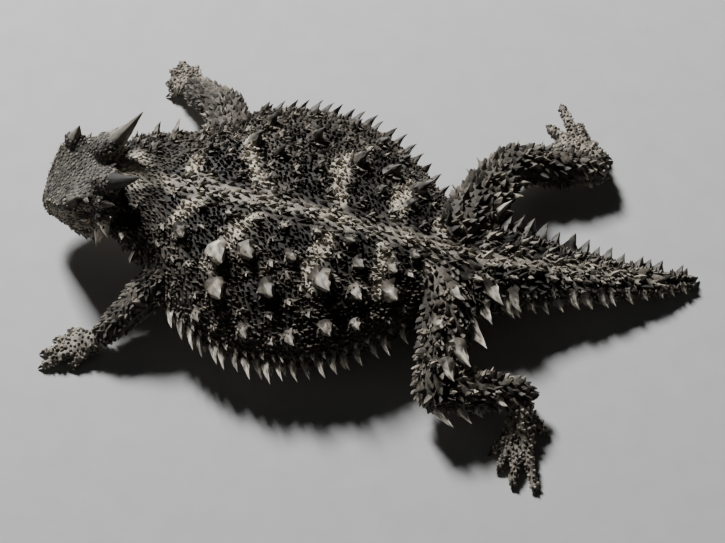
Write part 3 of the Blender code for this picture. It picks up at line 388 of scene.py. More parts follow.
# Groups of spines: form, bend, tone, flatness, slot, and whether small leaves ring their feet
# Painted shade: the far, right-hand fringe, back and tail spines take the dark crown tone, the near ones pale
# tones
SPINE_GROUPS = {
    "spines_fringe": ("slim", 0.2, "fringe", 0.8, "torso", False),
    "spines_fringe_far": ("slim", 0.25, "crown", 0.9, "torso", False),
    "spines_back_left": ("domed", 0.22, "spine", 0.92, "torso", True),
    "spines_back_right": ("domed", 0.3, "crown", 0.92, "torso", True),
    "spines_back_small": ("slim", 0.2, "line", 0.9, "torso", True),
    "spines_neck": ("slim", 0.2, "spine", 0.85, "neck", True),
    "spines_tail_far": ("slim", 0.1, "crown", 0.9, "tail_base", True),
    "spines_tail_near": ("slim", 0.18, "fringe", 0.8, "tail_base", True),
    "spines_tail_top": ("slim", 0.2, "face", 0.8, "tail_base", True),
    "spines_limbs": ("slim", 0.18, "line", 0.8, "left_rear_thigh", True),
    "spines_leg": ("slim", 0.2, "fringe", 0.9, "left_rear_thigh", True),
    "spines_jaw": ("slim", 0.1, "face", 0.8, "jaw", False),
    "spines_brow": ("slim", 0.1, "crown", 0.9, "head", False),
}
# Scatter of the way in which spines bow, unevenness of their width, height up to which they are dark,
# shade of their tips, sharpest smooth edge in degrees, and share of the radius that no scale enters
REAR_JITTER = 1.2
SPINE_UNEVEN = 0.16
PALE_RISE = 0.42
TIP_SHADE = 0.3
SHARP_ANGLE = 40.0
SPINE_ROOM = 0.86
# Rings of leaves: least number, share of the spine's radius, spacing, lift, size and tilt of a leaf
COLLAR_LEAST = 5
COLLAR_REACH = 1.1
COLLAR_SPACING = 0.78
COLLAR_LIFT = 0.12
COLLAR_LEAF = (1.5, 0.85, 0.46)
COLLAR_TILT = 0.28

# Scales by region: spacing, length, width and height of a scale, and its form
COATS = {
    "trunk": (0.8, 1.2, 0.78, 0.52, "leaf"),
    "ridge": (1.12, 1.75, 1.05, 0.55, "leaf"),
    "grain": (0.74, 0.84, 0.62, 0.62, "bead"),
    "flank": (0.78, 0.74, 0.58, 0.42, "bead"),
    "belly": (0.92, 1.1, 0.95, 0.16, "leaf"),
    "neck": (0.66, 0.86, 0.66, 0.34, "leaf"),
    "tail": (1.5, 2.3, 1.6, 0.8, "leaf"),
    "upper_arm": (1.04, 1.55, 1.15, 0.52, "leaf"),
    "forearm": (0.94, 1.4, 1.05, 0.45, "leaf"),
    "hand": (0.84, 0.8, 1.05, 0.42, "bead"),
    "thigh": (1.2, 1.7, 1.36, 0.9, "leaf"),
    "shank": (1.2, 1.7, 1.36, 0.9, "leaf"),
    "foot": (0.92, 1.04, 0.96, 0.52, "bead"),
    "digit": (0.72, 0.86, 0.8, 0.34, "bead"),
    "crown": (0.66, 0.86, 0.8, 0.13, "plate"),
    "face": (0.64, 0.72, 0.64, 0.26, "bead"),
}
# Pieces of the coat besides the back's own scales: their regions and slot
COAT_PIECES = {
    "grains_back": (("grain",), "torso"),
    "scales_flanks": (("flank",), "torso"),
    "scales_belly": (("belly",), "torso"),
    "scales_neck": (("neck",), "neck"),
    "scales_tail": (("tail",), "tail_base"),
    "scales_crown": (("crown",), "head"),
    "scales_face": (("face",), "jaw"),
    "scales_arms": (("upper_arm", "forearm"), "left_front_upper_arm"),
    "scales_legs": (("thigh", "shank"), "left_rear_thigh"),
    "scales_feet": (("hand", "foot", "digit"), "left_rear_foot"),
}
ROUGH_COATS = ("thigh", "shank", "upper_arm", "forearm", "tail")
HAND_REGIONS = ("hand", "foot", "digit")
BELLY_REGIONS = ("trunk", "tail", "neck", "thigh", "upper_arm")
# How far up the skin faces where flank, belly and crown begin, half width of the ridge, foot of the crown
FLANK_FROM = 0.72
BELLY_FROM = -0.5
CROWN_FROM = 0.35
RIDGE_REACH = 3.6
CROWN_LOW = -6.0
# Share of grains among the back's scales, tries for each place, scatter of the way out of the skin
GRAIN_SHARE = 0.5
TRIES_EACH = 5.0
OUT_JITTER = 0.3
# How scales vary: tone, size, size of the rough ones, shape and turn
TONE_VARY = (0.4, 1.25, 1.3)
SIZE_VARY = (0.78, 0.5)
ROUGH_VARY = (0.45, 0.55)
SHAPE_VARY = (0.8, 0.4)
YAW_VARY = (0.9, 0.8)
# Points of a keeled leaf; rings of bead and plate: radius, turn, height, and every which point is taken
LEAF = (
    (-0.5, 0.0, -0.5), (-0.16, 0.5, -0.5), (0.2, 0.4, -0.3), (-0.16, -0.5, -0.5), (0.2, -0.4, -0.3),
    (-0.34, 0.0, 0.2), (0.1, 0.0, 0.62), (0.56, 0.0, 0.7), (0.6, 0.0, 0.3), (0.3, 0.0, -0.5),
)
SCALE_RINGS = {
    "bead": ((0.5, 0.0, -0.5, 1), (0.44, 0.5, 0.35, 2), (0.16, 0.0, 0.95, 2)),
    "plate": ((0.52, 0.0, -0.5, 1), (0.36, 0.0, 0.75, 1)),
}
SCALE_SIDES = 6
SCALE_TILT = 0.22
SCALE_LIFT = 0.26
# Painted shade of a scale at its root, and painted highlight that makes it paler on its top and at its tip
SCALE_PAINTED_SHADE_AND_HIGHLIGHT = (0.2, 0.8, 0.35)
# Rooms of the forms in the unwrapped square: left, low, wide, tall
ROOMS = {
    "trunk": (0.02, 0.02, 0.56, 0.56), "tail": (0.6, 0.02, 0.38, 0.34), "neck": (0.6, 0.38, 0.38, 0.2),
    "head": (0.02, 0.6, 0.36, 0.38),
}
# Rows of lesser rooms: the first room, steps across and up, number in a row
ROOM_ROWS = {
    "horn": ((0.02, 0.58, 0.05, 0.016), (0.056, 0.0), 10),
    "digit": ((0.4, 0.9, 0.05, 0.036), (0.058, 0.045), 10),
    "limb": ((0.4, 0.6, 0.09, 0.14), (0.097, 0.15), 6),
}
# Depth of the scales over the skin, size of a scale's patch in the unwrapped square, fineness of the skin
SKIN_DEPTH = 0.3
PATCH = 0.003
VOXEL = 0.5
# Strength and number of the smoothing passes
RELAX = (0.5, 4)
FLOOR_CLEARANCE = 0.04
# Height of the skin's unevenness
RELIEF = {"trunk": 0.34, "neck": 0.55, "tail": 0.2, "head": 0.1, "digit": 0.04}
LIMB_RELIEF = 0.22
# Folds of the neck: pace, how far they stray, steepest skin, height
FOLD_TURN = 2.1
FOLD_WANDER = 2.4
FOLD_STEEP = 0.75
FOLD_HEIGHT = 0.3
# Groove of the mouth: width, depth, steepest skin
MOUTH_WIDTH = 0.22
MOUTH_DEPTH = 0.3
MOUTH_STEEP = 0.8
# Height and reach of the mound under a spine, against its length
MOUND_HEIGHT = 0.15
MOUND_REACH = 0.48
# Painted shade that darkens the skin between the scales: least, most, and how it grows with the tone; that of
# hands and feet
SKIN_PAINTED_SHADE = (0.5, 0.75, 1.2)
HAND_PAINTED_SHADE = 0.8

# Markings in plan: a pale line along the back, a pale wedge on the nape that is partly pale scales and partly
# painted light, and pairs of dark blotches with a pale rear edge
BACK_LINE = (
    (-33.0, -0.4), (-24.0, 0.2), (-8.0, -0.2), (10.0, -0.6), (30.0, 0.0), (42.0, 2.2), (58.0, 6.2),
    (74.0, 10.8),
)
NAPE = (
    ((-43.6, -2.0), (-40.2, 0.4), (-36.8, 3.6)), ((-43.6, -2.0), (-39.6, -0.8), (-35.6, 0.4)),
    ((-43.6, -2.0), (-39.2, -2.4), (-35.4, -2.6)),
)
PALE_EDGES = (
    ((-19.5, 0.8), (-22.6, 2.6), (-24.6, 5.0), (-25.6, 8.0)),
    ((-8.4, 3.4), (-11.4, 6.2), (-13.4, 9.6), (-14.8, 12.6), (-15.8, 16.4)),
    ((7.4, 3.6), (5.8, 8.0), (4.4, 12.6), (5.4, 17.4)),
    ((19.0, 2.6), (18.6, 6.8), (18.4, 10.2), (19.4, 14.4)),
    ((28.4, 2.4), (28.0, 5.8), (29.0, 9.6)),
)
BLOTCHES = (
    (-37.0, 9.0, 5.0, 4.0), (-35.0, 0.0, 3.0, 1.5), (-25.6, 4.6, 3.2, 3.6), (-18.6, 8.6, 5.2, 6.4),
    (-0.6, 8.6, 5.4, 6.0), (12.4, 7.8, 4.8, 5.4), (23.6, 6.6, 3.6, 4.4), (-2.0, 21.0, 6.0, 4.4),
    (13.0, 18.6, 4.6, 4.0), (41.0, 6.4, 4.4, 4.2), (52.0, 5.0, 3.4, 3.4), (62.0, 4.0, 2.6, 2.4),
)
# Marks: reach, softness of the edge, strength
MARKS = {
    "blotch": (0.9, 0.1, 0.85), "pale edge": (1.15, 0.2, 1.0), "line border": (3.0, 0.5, 0.6),
    "line": (1.75, 0.25, 1.0), "tail shade": (1.5, 0.5, 0.78), "nape": (1.2, 0.3, 1.0),
    "mouth": (0.2, 0.06, 0.9), "nostril": (0.5, 0.12, 1.0), "ear": (1.1, 0.12, 1.0),
}
# How much wider the pale edges are halfway and the nape's lines at their ends
PALE_SWELL = 0.5
NAPE_SPREAD = 0.7
# Middle line of the body: x, y
BODY_MIDDLE = ((-43.0, -1.0), (30.0, 0.0), (42.0, 2.4), (60.0, 7.0), (82.0, 14.4))
# Where the back's colours end, as how far down the skin faces, and the belly's, as how far up; softness
UPPER_EDGE = (0.1, 0.12)
BELLY_EDGE = (-0.55, 0.1)
# Size and reach of the marks' unevenness
WOBBLE_SIZE = 3.2
WOBBLE = 1.1
# Bands: pace along x and y, how far they stray; strengths of bands and tints
LIMB_BANDS = (0.62, 0.3)
HAND_BANDS = 1.7
BAND_WANDER = 2.0
LIMB_BAND = 0.5
HAND_BAND = 0.6
LIMB_TINT = 0.14
HAND_TINT = 0.7
HEAD_TINT = 0.9
# The face's pale tone is partly the head's own pale sides and partly painted light on their shaded side
TONES = {
    "back": (0.084, 0.071, 0.056), "dark": (0.010, 0.008, 0.006), "pale": (0.52, 0.47, 0.385),
    "line": (0.34, 0.305, 0.25), "belly": (0.40, 0.36, 0.30), "crown": (0.092, 0.083, 0.070),
    "face": (0.32, 0.28, 0.225), "hand": (0.30, 0.268, 0.22), "spine": (0.262, 0.234, 0.193),
    "fringe": (0.62, 0.57, 0.48), "horn": (0.235, 0.213, 0.178), "horn_tip": (0.12, 0.105, 0.085),
    # The pit tone is painted shade
    "claw": (0.04, 0.034, 0.027), "pit": (0.006, 0.005, 0.004),
}

# Iris from the pupil outward: share of the half turn from the gaze, colour
IRIS = (
    (0.0, (0.004, 0.003, 0.003)), (0.085, (0.006, 0.004, 0.003)), (0.1, (0.34, 0.2, 0.07)),
    (0.15, (0.16, 0.075, 0.025)), (0.205, (0.05, 0.022, 0.01)), (0.24, (0.02, 0.012, 0.009)),
    (1.0, (0.1, 0.07, 0.055)),
)
# Inputs and outputs of the shared weathering
WEATHER_INPUTS = (
    ("Colour", "Color"), ("Place", "Vector"), ("Size", "Float"), ("Strength", "Float"), ("Shine", "Float"),
)
WEATHER_OUTPUTS = (("Colour", "Color"), ("Roughness", "Float"), ("Height", "Float"))
# How much it roughens, and how it spreads the colour
WEATHER_ROUGH = 0.3
WEATHER_SPREAD = {"From Min": 0.3, "From Max": 0.7, "To Min": 0.3, "To Max": 1.6}
# How much finer the grain of spines and horns is round them and along them
GRAIN_STRETCH = (9.0, 3.0, 1.0)

# Floor, lights and camera, in metres and degrees
FLOOR_SIZE = 1.6
FLOOR_SHADES = (0.41, 0.47)
# Lights: name, direction, distance, size, power
LIGHTS = (
    ("key", (-0.807, 0.879, 1.0), 0.75, 0.15, 14.0), ("fill", (0.2, -0.8, 1.2), 1.2, 0.9, 0.06),
    ("front", (-1.0, -0.8, 0.75), 1.2, 0.9, 0.3),
)
SURROUND = 0.012
# Where the camera looks, on the floor, in millimetres of the tables
AIM = (12.598, -0.0995, 0.0)
AZIMUTH = 14.2
ELEVATION = 57.0
CAMERA_DISTANCE = 0.6
SENSOR = 36.0
PIXELS_EACH_MM = 4.7
PICTURE_WIDTH = 725.0

random_draw = np.random.default_rng(SEED)


# Frames and sections

def head_frame():
    """The head's axes in the model: forward, left, up, and its place."""
    bow, turn = math.radians(BOW), math.radians(TURN)
    forward = Vector((-math.cos(bow) * math.cos(turn), -math.cos(bow) * math.sin(turn), -math.sin(bow)))
    left = Vector((math.sin(turn), -math.cos(turn), 0.0))
    up = forward.cross(left)
    return Matrix((
        (forward.x, left.x, up.x, CROWN[0]), (forward.y, left.y, up.y, CROWN[1]),
        (forward.z, left.z, up.z, CROWN[2]), (0.0, 0.0, 0.0, 1.0),
    ))


def on_head(place, side=1):
    """A point given in the head frame, on the left for side 1 and on the right for side -1."""
    return head_frame() @ Vector((place[0], place[1] * side, place[2]))


def frame_shift():
    """What takes a place in the tables, in metres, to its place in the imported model."""
    low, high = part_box("eye_left")
    return (Vector(low) + Vector(high)) / 2 - on_head(EYE_PLACE) * MM


def rounded(angle, half_width, up, down, powers):
    """A point of a section that is rounder or squarer above and below its widest line."""
    c, s = math.cos(angle), math.sin(angle)
    power, height = (powers[0], up) if s >= 0.0 else (powers[1], down)
    across = math.copysign(abs(c) ** (2.0 / power), c) * half_width
    return across, math.copysign(abs(s) ** (2.0 / power), s) * height


def above_floor(place):
    """Keeps a point of the skin from going under the floor."""
    return Vector((place.x, place.y, max(place.z, SKIN_DEPTH)))


def body_rings(table, region):
    """Rings of the trunk, neck or tail, drawn in by the depth of the scales."""
    rings = []
    for index, row in enumerate(table):
        x, y, half, wide, top, under, lean = row
        before, after = table[max(index - 1, 0)], table[min(index + 1, len(table) - 1)]
        heading = math.atan2(after[1] - before[1], after[0] - before[0])
        turn = Matrix.Rotation(heading, 3, "Z") @ Matrix.Rotation(math.radians(lean), 3, "Y")
        ring = []
        for step in range(SIDES[region]):
            across, rise = rounded(
                math.tau * step / SIDES[region], half - SKIN_DEPTH, top - wide - SKIN_DEPTH,
                wide - under - SKIN_DEPTH, POWERS[region])
            ring.append(above_floor(Vector((x, y, wide)) + turn @ Vector((0.0, across, rise))))
        rings.append(ring)
    return rings


def torso_rows():
    """The trunk's table with its middle line and lean filled in."""
    return [(x, 0.0, half, wide, top, under, 0.0) for x, half, wide, top, under in TORSO]


def tail_rows():
    """The tail's table with its lean filled in."""
    return [row + (0.0,) for row in TAIL]


def tube_rings(path, sides, depth):
    """Rings along a path of x, y, z, half width and half height, with domed ends."""
    places = [Vector(row[:3]) for row in path]
    rows = []
    for index, row in enumerate(path):
        ahead = places[min(index + 1, len(places) - 1)] - places[max(index - 1, 0)]
        rows.append((places[index], row[3] - depth, row[4] - depth, ahead.normalized()))
    place, wide, high, heading = rows[-1]
    rows += [(place + heading * high * out, wide * size, high * size, heading) for out, size in END_DOME]
    place, wide, high, heading = rows[0]
    caps = [(place - heading * high * out, wide * size, high * size, heading) for out, size in END_DOME]
    turns = [math.tau * k / sides for k in range(sides)]
    rings = []
    for place, wide, high, heading in caps[::-1] + rows:
        side = ABOVE.cross(heading).normalized()
        up = heading.cross(side)
        rings.append([
            above_floor(place + side * math.cos(t) * wide + up * math.sin(t) * high) for t in turns
        ])
    return rings


def head_rings():
    """Rings of the head with the jaw, from the snout back."""
    frame = head_frame()
    shrink = 1.0 - SKIN_DEPTH / HEAD_REACH
    rings = []
    for f, brow_w, brow_z, orbit_w, orbit_z, lip_w, lip_z, jaw_w, jaw_z, top, under in HEAD:
        out, up = BROW_SHARP if brow_w > BROW_FROM else (0.0, 0.0)
        left = (
            (brow_w * CAGE_EDGE + out, top + (brow_z - top) * CAGE_TOP), (brow_w + out, brow_z + up),
            (orbit_w, orbit_z), (lip_w, lip_z), (jaw_w, jaw_z),
            (jaw_w * CAGE_EDGE, under + (jaw_z - under) * CAGE_UNDER),
        )
        section = [(0.0, top), *left, (0.0, under)] + [(-w, z) for w, z in reversed(left)]
        around = [np.array(section[k - 1]) + section[(k + 1) % len(section)] for k in range(len(section))]
        drawn = [np.array(point) * (1.0 + CAGE_DRAW) - ends * CAGE_DRAW / 2
                 for point, ends in zip(section, around)]
        rings.append([frame @ Vector((f * shrink, w * shrink, z * shrink - HEAD_DROP)) for w, z in drawn])
    return rings


def horn_line(kind, side):
    """A horn's root, tip and the two directions across it."""
    start, end = on_head(HORNS[kind][0], side), on_head(HORNS[kind][1], side)
    along = (end - start).normalized()
    right = along.orthogonal().normalized()
    return start, end, right, along.cross(right)


def horn_place(kind, line, part):
    """The middle of a horn at a share of its length, and its half width there."""
    _, _, radius, bend = HORNS[kind]
    middle = line[0].lerp(line[1], part) - ABOVE * bend * math.sin(math.pi * max(part, 0.0))
    return middle, np.interp(part, *zip(*HORN_PROFILE)) * radius


def horn_feet():
    """Rings of the skin that climbs the foot of each horn."""
    turns = [math.tau * k / SIDES["limb"] for k in range(SIDES["limb"])]
    forms = []
    for kind in HORNS:
        for side in (1, -1):
            line = horn_line(kind, side)
            rings = []
            for part, share in HORN_FOOT:
                middle, width = horn_place(kind, line, part)
                rings.append([
                    middle + (line[2] * math.cos(t) + line[3] * math.sin(t)) * width * share for t in turns
                ])
            forms.append(("head", rings))
    return forms


def digit_path(root, tip):
    """The bones of a digit: from inside the foot to the root of its claw."""
    start = Vector(root)
    claw = Vector((tip[0], tip[1], DIGIT_RADIUS * DIGIT_END_HEIGHT))
    end = claw - (claw - start).normalized() * CLAW_LENGTH
    end.z = DIGIT_RADIUS * DIGIT_END_HEIGHT
    knuckle = start.lerp(end, KNUCKLE_SHARE) + ABOVE * KNUCKLE_RISE
    inner = start - (end - start).normalized() * DIGIT_SINK
    places = (inner, start, start.lerp(knuckle, 0.5), knuckle, knuckle.lerp(end, 0.5), end)
    return [(*place, DIGIT_RADIUS * wide, DIGIT_RADIUS * high)
            for place, (wide, high) in zip(places, DIGIT_SHARES)]


def flesh_forms():
    """Every closed form that the skin is drawn over: its region and its rings, in the lie of the scales."""
    forms = [
        ("trunk", body_rings(torso_rows(), "trunk")), ("neck", body_rings(NECK + (NECK_INNER,), "neck")),
        ("tail", body_rings([TAIL_INNER + (0.0,)] + tail_rows(), "tail")), ("head", head_rings()),
    ]
    forms += horn_feet()
    for limb, parts in LIMBS.items():
        for part, path in parts.items():
            forms.append((part, tube_rings(path, SIDES["limb"], SKIN_DEPTH)))
        for root, tip in DIGITS[limb]:
            forms.append(("digit", tube_rings(digit_path(root, tip), SIDES["digit"], DIGIT_DEPTH)))
    return forms


# Meshes

def finish_piece(obj, shift, material, slot, *nodes):
    """Takes a piece from millimetres to its place, gives it its finish and sets it on the body."""
    obj.data.transform(Matrix.Translation(shift) @ Matrix.Scale(MM, 4))
    obj.data.materials.clear()
    obj.data.materials.append(material)
    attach(obj, BODY)
    if nodes:
        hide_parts(*nodes)


def place_object(name, data):
    """An object in the scene that holds a mesh, a lamp or a lens."""
    obj = bpy.data.objects.new(name, data)
    bpy.context.scene.collection.objects.link(obj)
    return obj


def faces_of(mesh):
    """The faces of an edit mesh in a fixed order, each begun at its lowest corner, so that runs agree."""
    mesh.verts.index_update()
    faces = [[vert.index for vert in face.verts] for face in mesh.faces]
    return sorted(face[face.index(min(face)):] + face[:face.index(min(face))] for face in faces)


def link_mesh(name, mesh):
    """An object made from an edit mesh."""
    data = bpy.data.meshes.new(name)
    data.from_pydata([tuple(vert.co) for vert in mesh.verts], [], faces_of(mesh))
    mesh.free()
    return place_object(name, data)


def draw_loft(mesh, rings):
    """Adds a closed solid through rings of equal point counts: each ring is drawn out from the last."""
    made = bmesh.ops.create_circle(mesh, cap_ends=True, radius=1.0, segments=len(rings[0]))
    verts = list(made["verts"])
    for vert, place in zip(verts, rings[0]):
        vert.co = place
    edges = list(dict.fromkeys(edge for vert in verts for edge in vert.link_edges))
    solid = list(verts)
    for ring in rings[1:]:
        drawn = bmesh.ops.extrude_edge_only(mesh, edges=edges)["geom"]
        fresh = [item for item in drawn if isinstance(item, bmesh.types.BMVert)]
        edges = [item for item in drawn if isinstance(item, bmesh.types.BMEdge)]
        edges = [edge for edge in edges if edge.verts[0] in fresh and edge.verts[1] in fresh]
        order = {}
        for vert in fresh:
            for edge in vert.link_edges:
                other = edge.other_vert(vert)
                if other in verts:
                    order[verts.index(other)] = vert
        verts = [order[index] for index in range(len(ring))]
        for vert, place in zip(verts, ring):
            vert.co = place
        solid += verts
    mesh.faces.new(verts)
    faces = list(dict.fromkeys(face for vert in solid for face in vert.link_faces))
    bmesh.ops.recalc_face_normals(mesh, faces=faces)


def loft_piece(name, rings):
    """An object of one closed solid through rings."""
    mesh = bmesh.new()
    draw_loft(mesh, rings)
    return link_mesh(name, mesh)


def form_of(mesh):
    """The corner places and triangles of an edit mesh, which is freed."""
    bmesh.ops.triangulate(mesh, faces=mesh.faces)
    corners, faces = np.array([tuple(vert.co) for vert in mesh.verts]), np.array(faces_of(mesh))
    mesh.free()
    return corners, faces


def apply_all(obj):
    """Applies an object's modifiers."""
    bpy.context.view_layer.update()
    shape = obj.evaluated_get(bpy.context.evaluated_depsgraph_get())
    data = bpy.data.meshes.new_from_object(shape)
    old = obj.data
    obj.modifiers.clear()
    obj.data = data
    bpy.data.meshes.remove(old)


def paint_points(data, name, colours):
    """Writes one colour for each point of a mesh."""
    layer = data.color_attributes.new(name, "FLOAT_COLOR", "POINT")
    full = np.concatenate([colours, np.ones((len(colours), 1))], axis=1)
    layer.data.foreach_set("color", full.astype(np.float32).ravel())


def map_points(data, name, spots):
    """Writes a UV map from one spot for each point of a mesh."""
    layer = data.uv_layers.new(name=name)
    index = np.empty(len(data.loops), dtype=np.int32)
    data.loops.foreach_get("vertex_index", index)
    layer.data.foreach_set("uv", spots[index].astype(np.float32).ravel())


def points_of(data):
    """The places of a mesh's points as rows."""
    places = np.empty(len(data.vertices) * 3)
    data.vertices.foreach_get("co", places)
    return places.reshape(-1, 3)


def normals_of(data):
    """The directions out of a mesh at its points, as rows."""
    normals = np.empty(len(data.vertices) * 3, dtype=np.float32)
    data.vertex_normals.foreach_get("vector", normals)
    return normals.reshape(-1, 3).astype(float)


def unit(rows):
    """Rows made one long."""
    return rows / np.maximum(np.linalg.norm(rows, axis=1, keepdims=True), 1e-9)


def join_copies(name, form, places, lowest, colours, spots):
    """One mesh of many copies of a form, with their colours and their patches of the unwrapped skin."""
    corners, faces = form
    count, each = places.shape[:2]
    places = places.reshape(-1, 3)
    places[:, 2] = np.maximum(places[:, 2], lowest)
    index = (faces[None, :, :] + (np.arange(count) * each)[:, None, None]).reshape(-1, 3)
    data = bpy.data.meshes.new(name)
    data.from_pydata(places, [], index)
    paint_points(data, "tone", colours.reshape(-1, 3))
    map_points(data, "OFBake", (spots[:, None, :] + corners[None, :, :2] * PATCH).reshape(-1, 2))
    return place_object(name, data)


# The guide tells, at any place of the skin, which form it covers and which way its scales lie

class Guide:
    """Region, lie and unwrapped place of the skin, read from the nearest form below it."""

    def __init__(self, forms):
        places, quads, self.region, self.ahead, self.cell = [], [], [], [], []
        for (region, rings), (left, low, wide, tall) in zip(forms, self.rooms(forms)):
            base, sides, gaps = len(places), len(rings[0]), len(rings) - 1
            for ring in rings:
                places += [tuple(point) for point in ring]
            for row in range(gaps):
                for side in range(sides):
                    after = (side + 1) % sides
                    a, b = base + row * sides + side, base + row * sides + after
                    quads.append((a, b, b + sides, a + sides))
                    self.region.append(region)
                    self.ahead.append((rings[row + 1][side] - rings[row][side]).normalized())
                    self.cell.append((left + wide * (row + 0.5) / gaps, low + tall * (side + 0.5) / sides))
        self.tree = BVHTree.FromPolygons(places, quads)

    @staticmethod
    def rooms(forms):
        """The room of each form in the unwrapped square."""
        made, count = [], {"horn": len(ROOMS), "digit": 0, "limb": 0}
        for region, _ in forms:
            if region in ROOMS and ROOMS[region] not in made:
                made.append(ROOMS[region])
                continue
            kind = "horn" if region in ROOMS else "digit" if region == "digit" else "limb"
            (left, low, wide, tall), (across, up), row = ROOM_ROWS[kind]
            made.append((left + across * (count[kind] % row), low + up * (count[kind] // row), wide, tall))
            count[kind] += 1
        return made

    def read(self, places):
        """Region, lie and unwrapped spot for each place."""
        regions, lies, spots = [], np.empty((len(places), 3)), np.empty((len(places), 2))
        for row, place in enumerate(places):
            _, _, index, _ = self.tree.find_nearest(place)
            regions.append(self.region[index])
            lies[row] = self.ahead[index]
            spots[row] = self.cell[index]
        return np.array(regions), lies, spots


def in_head(places):
    """Places in the head's own frame."""
    turn = np.array(head_frame().inverted())
    return places @ turn[:3, :3].T + turn[:3, 3]


def beside(local, place):
    """Distance in the head's frame from each place to a place of the left side or its mirror."""
    mirrored = np.stack([local[:, 0], np.abs(local[:, 1]), local[:, 2]], axis=1)
    return np.linalg.norm(mirrored - np.array(place), axis=1)


def coat_regions(places, normals, regions):
    """Splits the trunk into back, flank, ridge and belly, and the head into crown and face."""
    out = regions.copy()
    trunk = regions == "trunk"
    out[trunk & (normals[:, 2] < FLANK_FROM)] = "flank"
    out[trunk & (np.abs(places[:, 1]) < RIDGE_REACH) & (normals[:, 2] > 0.0)] = "ridge"
    out[(normals[:, 2] < BELLY_FROM) & np.isin(regions, BELLY_REGIONS)] = "belly"
    head = regions == "head"
    up = normals @ np.array(head_frame())[:3, 2]
    out[head] = "face"
    out[head & (up > CROWN_FROM) & (in_head(places)[:, 2] > CROWN_LOW)] = "crown"
    return out


# Markings, with some painted light and shade, the same on the skin and on its scales

def soft_edge(distance, reach, softness):
    """One inside a reach and nought outside it, with a soft edge."""
    return 1.0 / (1.0 + np.exp(np.clip((distance - reach) / softness, -40.0, 40.0)))


def near_line(flat, line):
    """Distance in plan from places to a broken line, and how far along it the nearest point is."""
    best, along = np.full(len(flat), 1e9), np.zeros(len(flat))
    for index, (start, end) in enumerate(zip(line, line[1:])):
        start, run = np.array(start), np.array(end) - np.array(start)
        part = np.clip((flat - start) @ run / (run @ run), 0.0, 1.0)
        distance = np.linalg.norm(flat - start - part[:, None] * run, axis=1)
        closer = distance < best
        best, along = np.where(closer, distance, best), np.where(closer, index + part, along)
    return best, along / (len(line) - 1)


def wander(places, size, offset=0.0):
    """Smooth noise at each place, between about -1 and 1."""
    shift = Vector((offset, offset * 0.7, -offset))
    return np.array([noise.noise(Vector(place) / size + shift) for place in places])


def markings(places, normals, regions):
    """The animal's colour at each place of its skin, with painted light on the nape and face and painted
    shade in the pits.
    """
    places = np.asarray(places)
    wobble = np.stack([wander(places, WOBBLE_SIZE, 5.0), wander(places, WOBBLE_SIZE, 19.0)], axis=1) * WOBBLE
    flat = places[:, :2] + wobble
    tone = np.tile(np.array(TONES["back"]), (len(places), 1))

    def lay(name, amount):
        """Mixes a colour in by an amount for each place."""
        tone[:] = tone + (np.array(TONES[name]) - tone) * np.clip(amount, 0.0, 1.0)[:, None]

    def mark(name, kind, distance, where, wider=0.0):
        """Lays a colour within the reach of a kind of mark."""
        reach, softness, strength = MARKS[kind]
        lay(name, soft_edge(distance, reach + wider, softness) * strength * where)

    middle = np.interp(places[:, 0], *zip(*BODY_MIDDLE))
    mirrored = np.stack([flat[:, 0], np.abs(flat[:, 1] - middle)], axis=1)
    body, head = np.isin(regions, ("trunk", "neck", "tail")), regions == "head"
    upper = body * soft_edge(-normals[:, 2], *UPPER_EDGE)
    for x, y, long, wide in BLOTCHES:
        mark("dark", "blotch", np.hypot((mirrored[:, 0] - x) / long, (mirrored[:, 1] - y) / wide), upper)
    for line in PALE_EDGES:
        distance, along = near_line(mirrored, line)
        mark("pale", "pale edge", distance, upper, PALE_SWELL * np.sin(math.pi * along))
    distance, _ = near_line(flat, BACK_LINE)
    mark("dark", "line border", distance, upper)
    mark("line", "line", distance, upper)
    reach, softness, strength = MARKS["tail shade"]
    lay("dark", strength * (regions == "tail") * (1.0 - soft_edge(distance, reach, softness)))
    # The nape wedge: partly pale scales, partly painted light where the horns shade the nape
    for line in NAPE:
        distance, along = near_line(flat, line)
        mark("pale", "nape", distance, upper, NAPE_SPREAD * along)
    limbs, hands = ~body & ~head, np.isin(regions, HAND_REGIONS)
    along, across = (places[:, k] * LIMB_BANDS[k] for k in (0, 1))
    bands = np.sin(along + across + wander(places, 5.0, 41.0) * BAND_WANDER)
    lay("line", LIMB_TINT * limbs)
    lay("dark", np.clip(bands, 0.0, 1.0) * LIMB_BAND * limbs)
    bands = np.sin(places[:, 0] * HAND_BANDS + wander(places, 3.0, 77.0) * BAND_WANDER)
    lay("hand", HAND_TINT * hands)
    lay("back", np.clip(bands, 0.0, 1.0) * HAND_BAND * hands)
    coats = coat_regions(places, normals, regions)
    lay("crown", HEAD_TINT * (coats == "crown"))
    # Partly painted light: the pale face tone lifts the shade on the sides of the head
    lay("face", HEAD_TINT * (coats == "face"))
    local = in_head(places)
    # Painted shade: the mouth's groove and the nostril and ear pits are coloured near black
    mark("pit", "mouth", np.abs(local[:, 2] - MOUTH_LEVEL), (coats == "face") * (local[:, 0] > MOUTH_END))
    for kind, (pit, _, _) in PITS.items():
        mark("pit", kind, beside(local, pit), head)
    lay("belly", soft_edge(normals[:, 2], *BELLY_EDGE) * (body | limbs))
    mottle = 0.5 * wander(places, 1.5, 60.0) + 0.5 * wander(places, 4.0, 90.0)
    return tone * (1.0 + mottle)[:, None]


# Skin

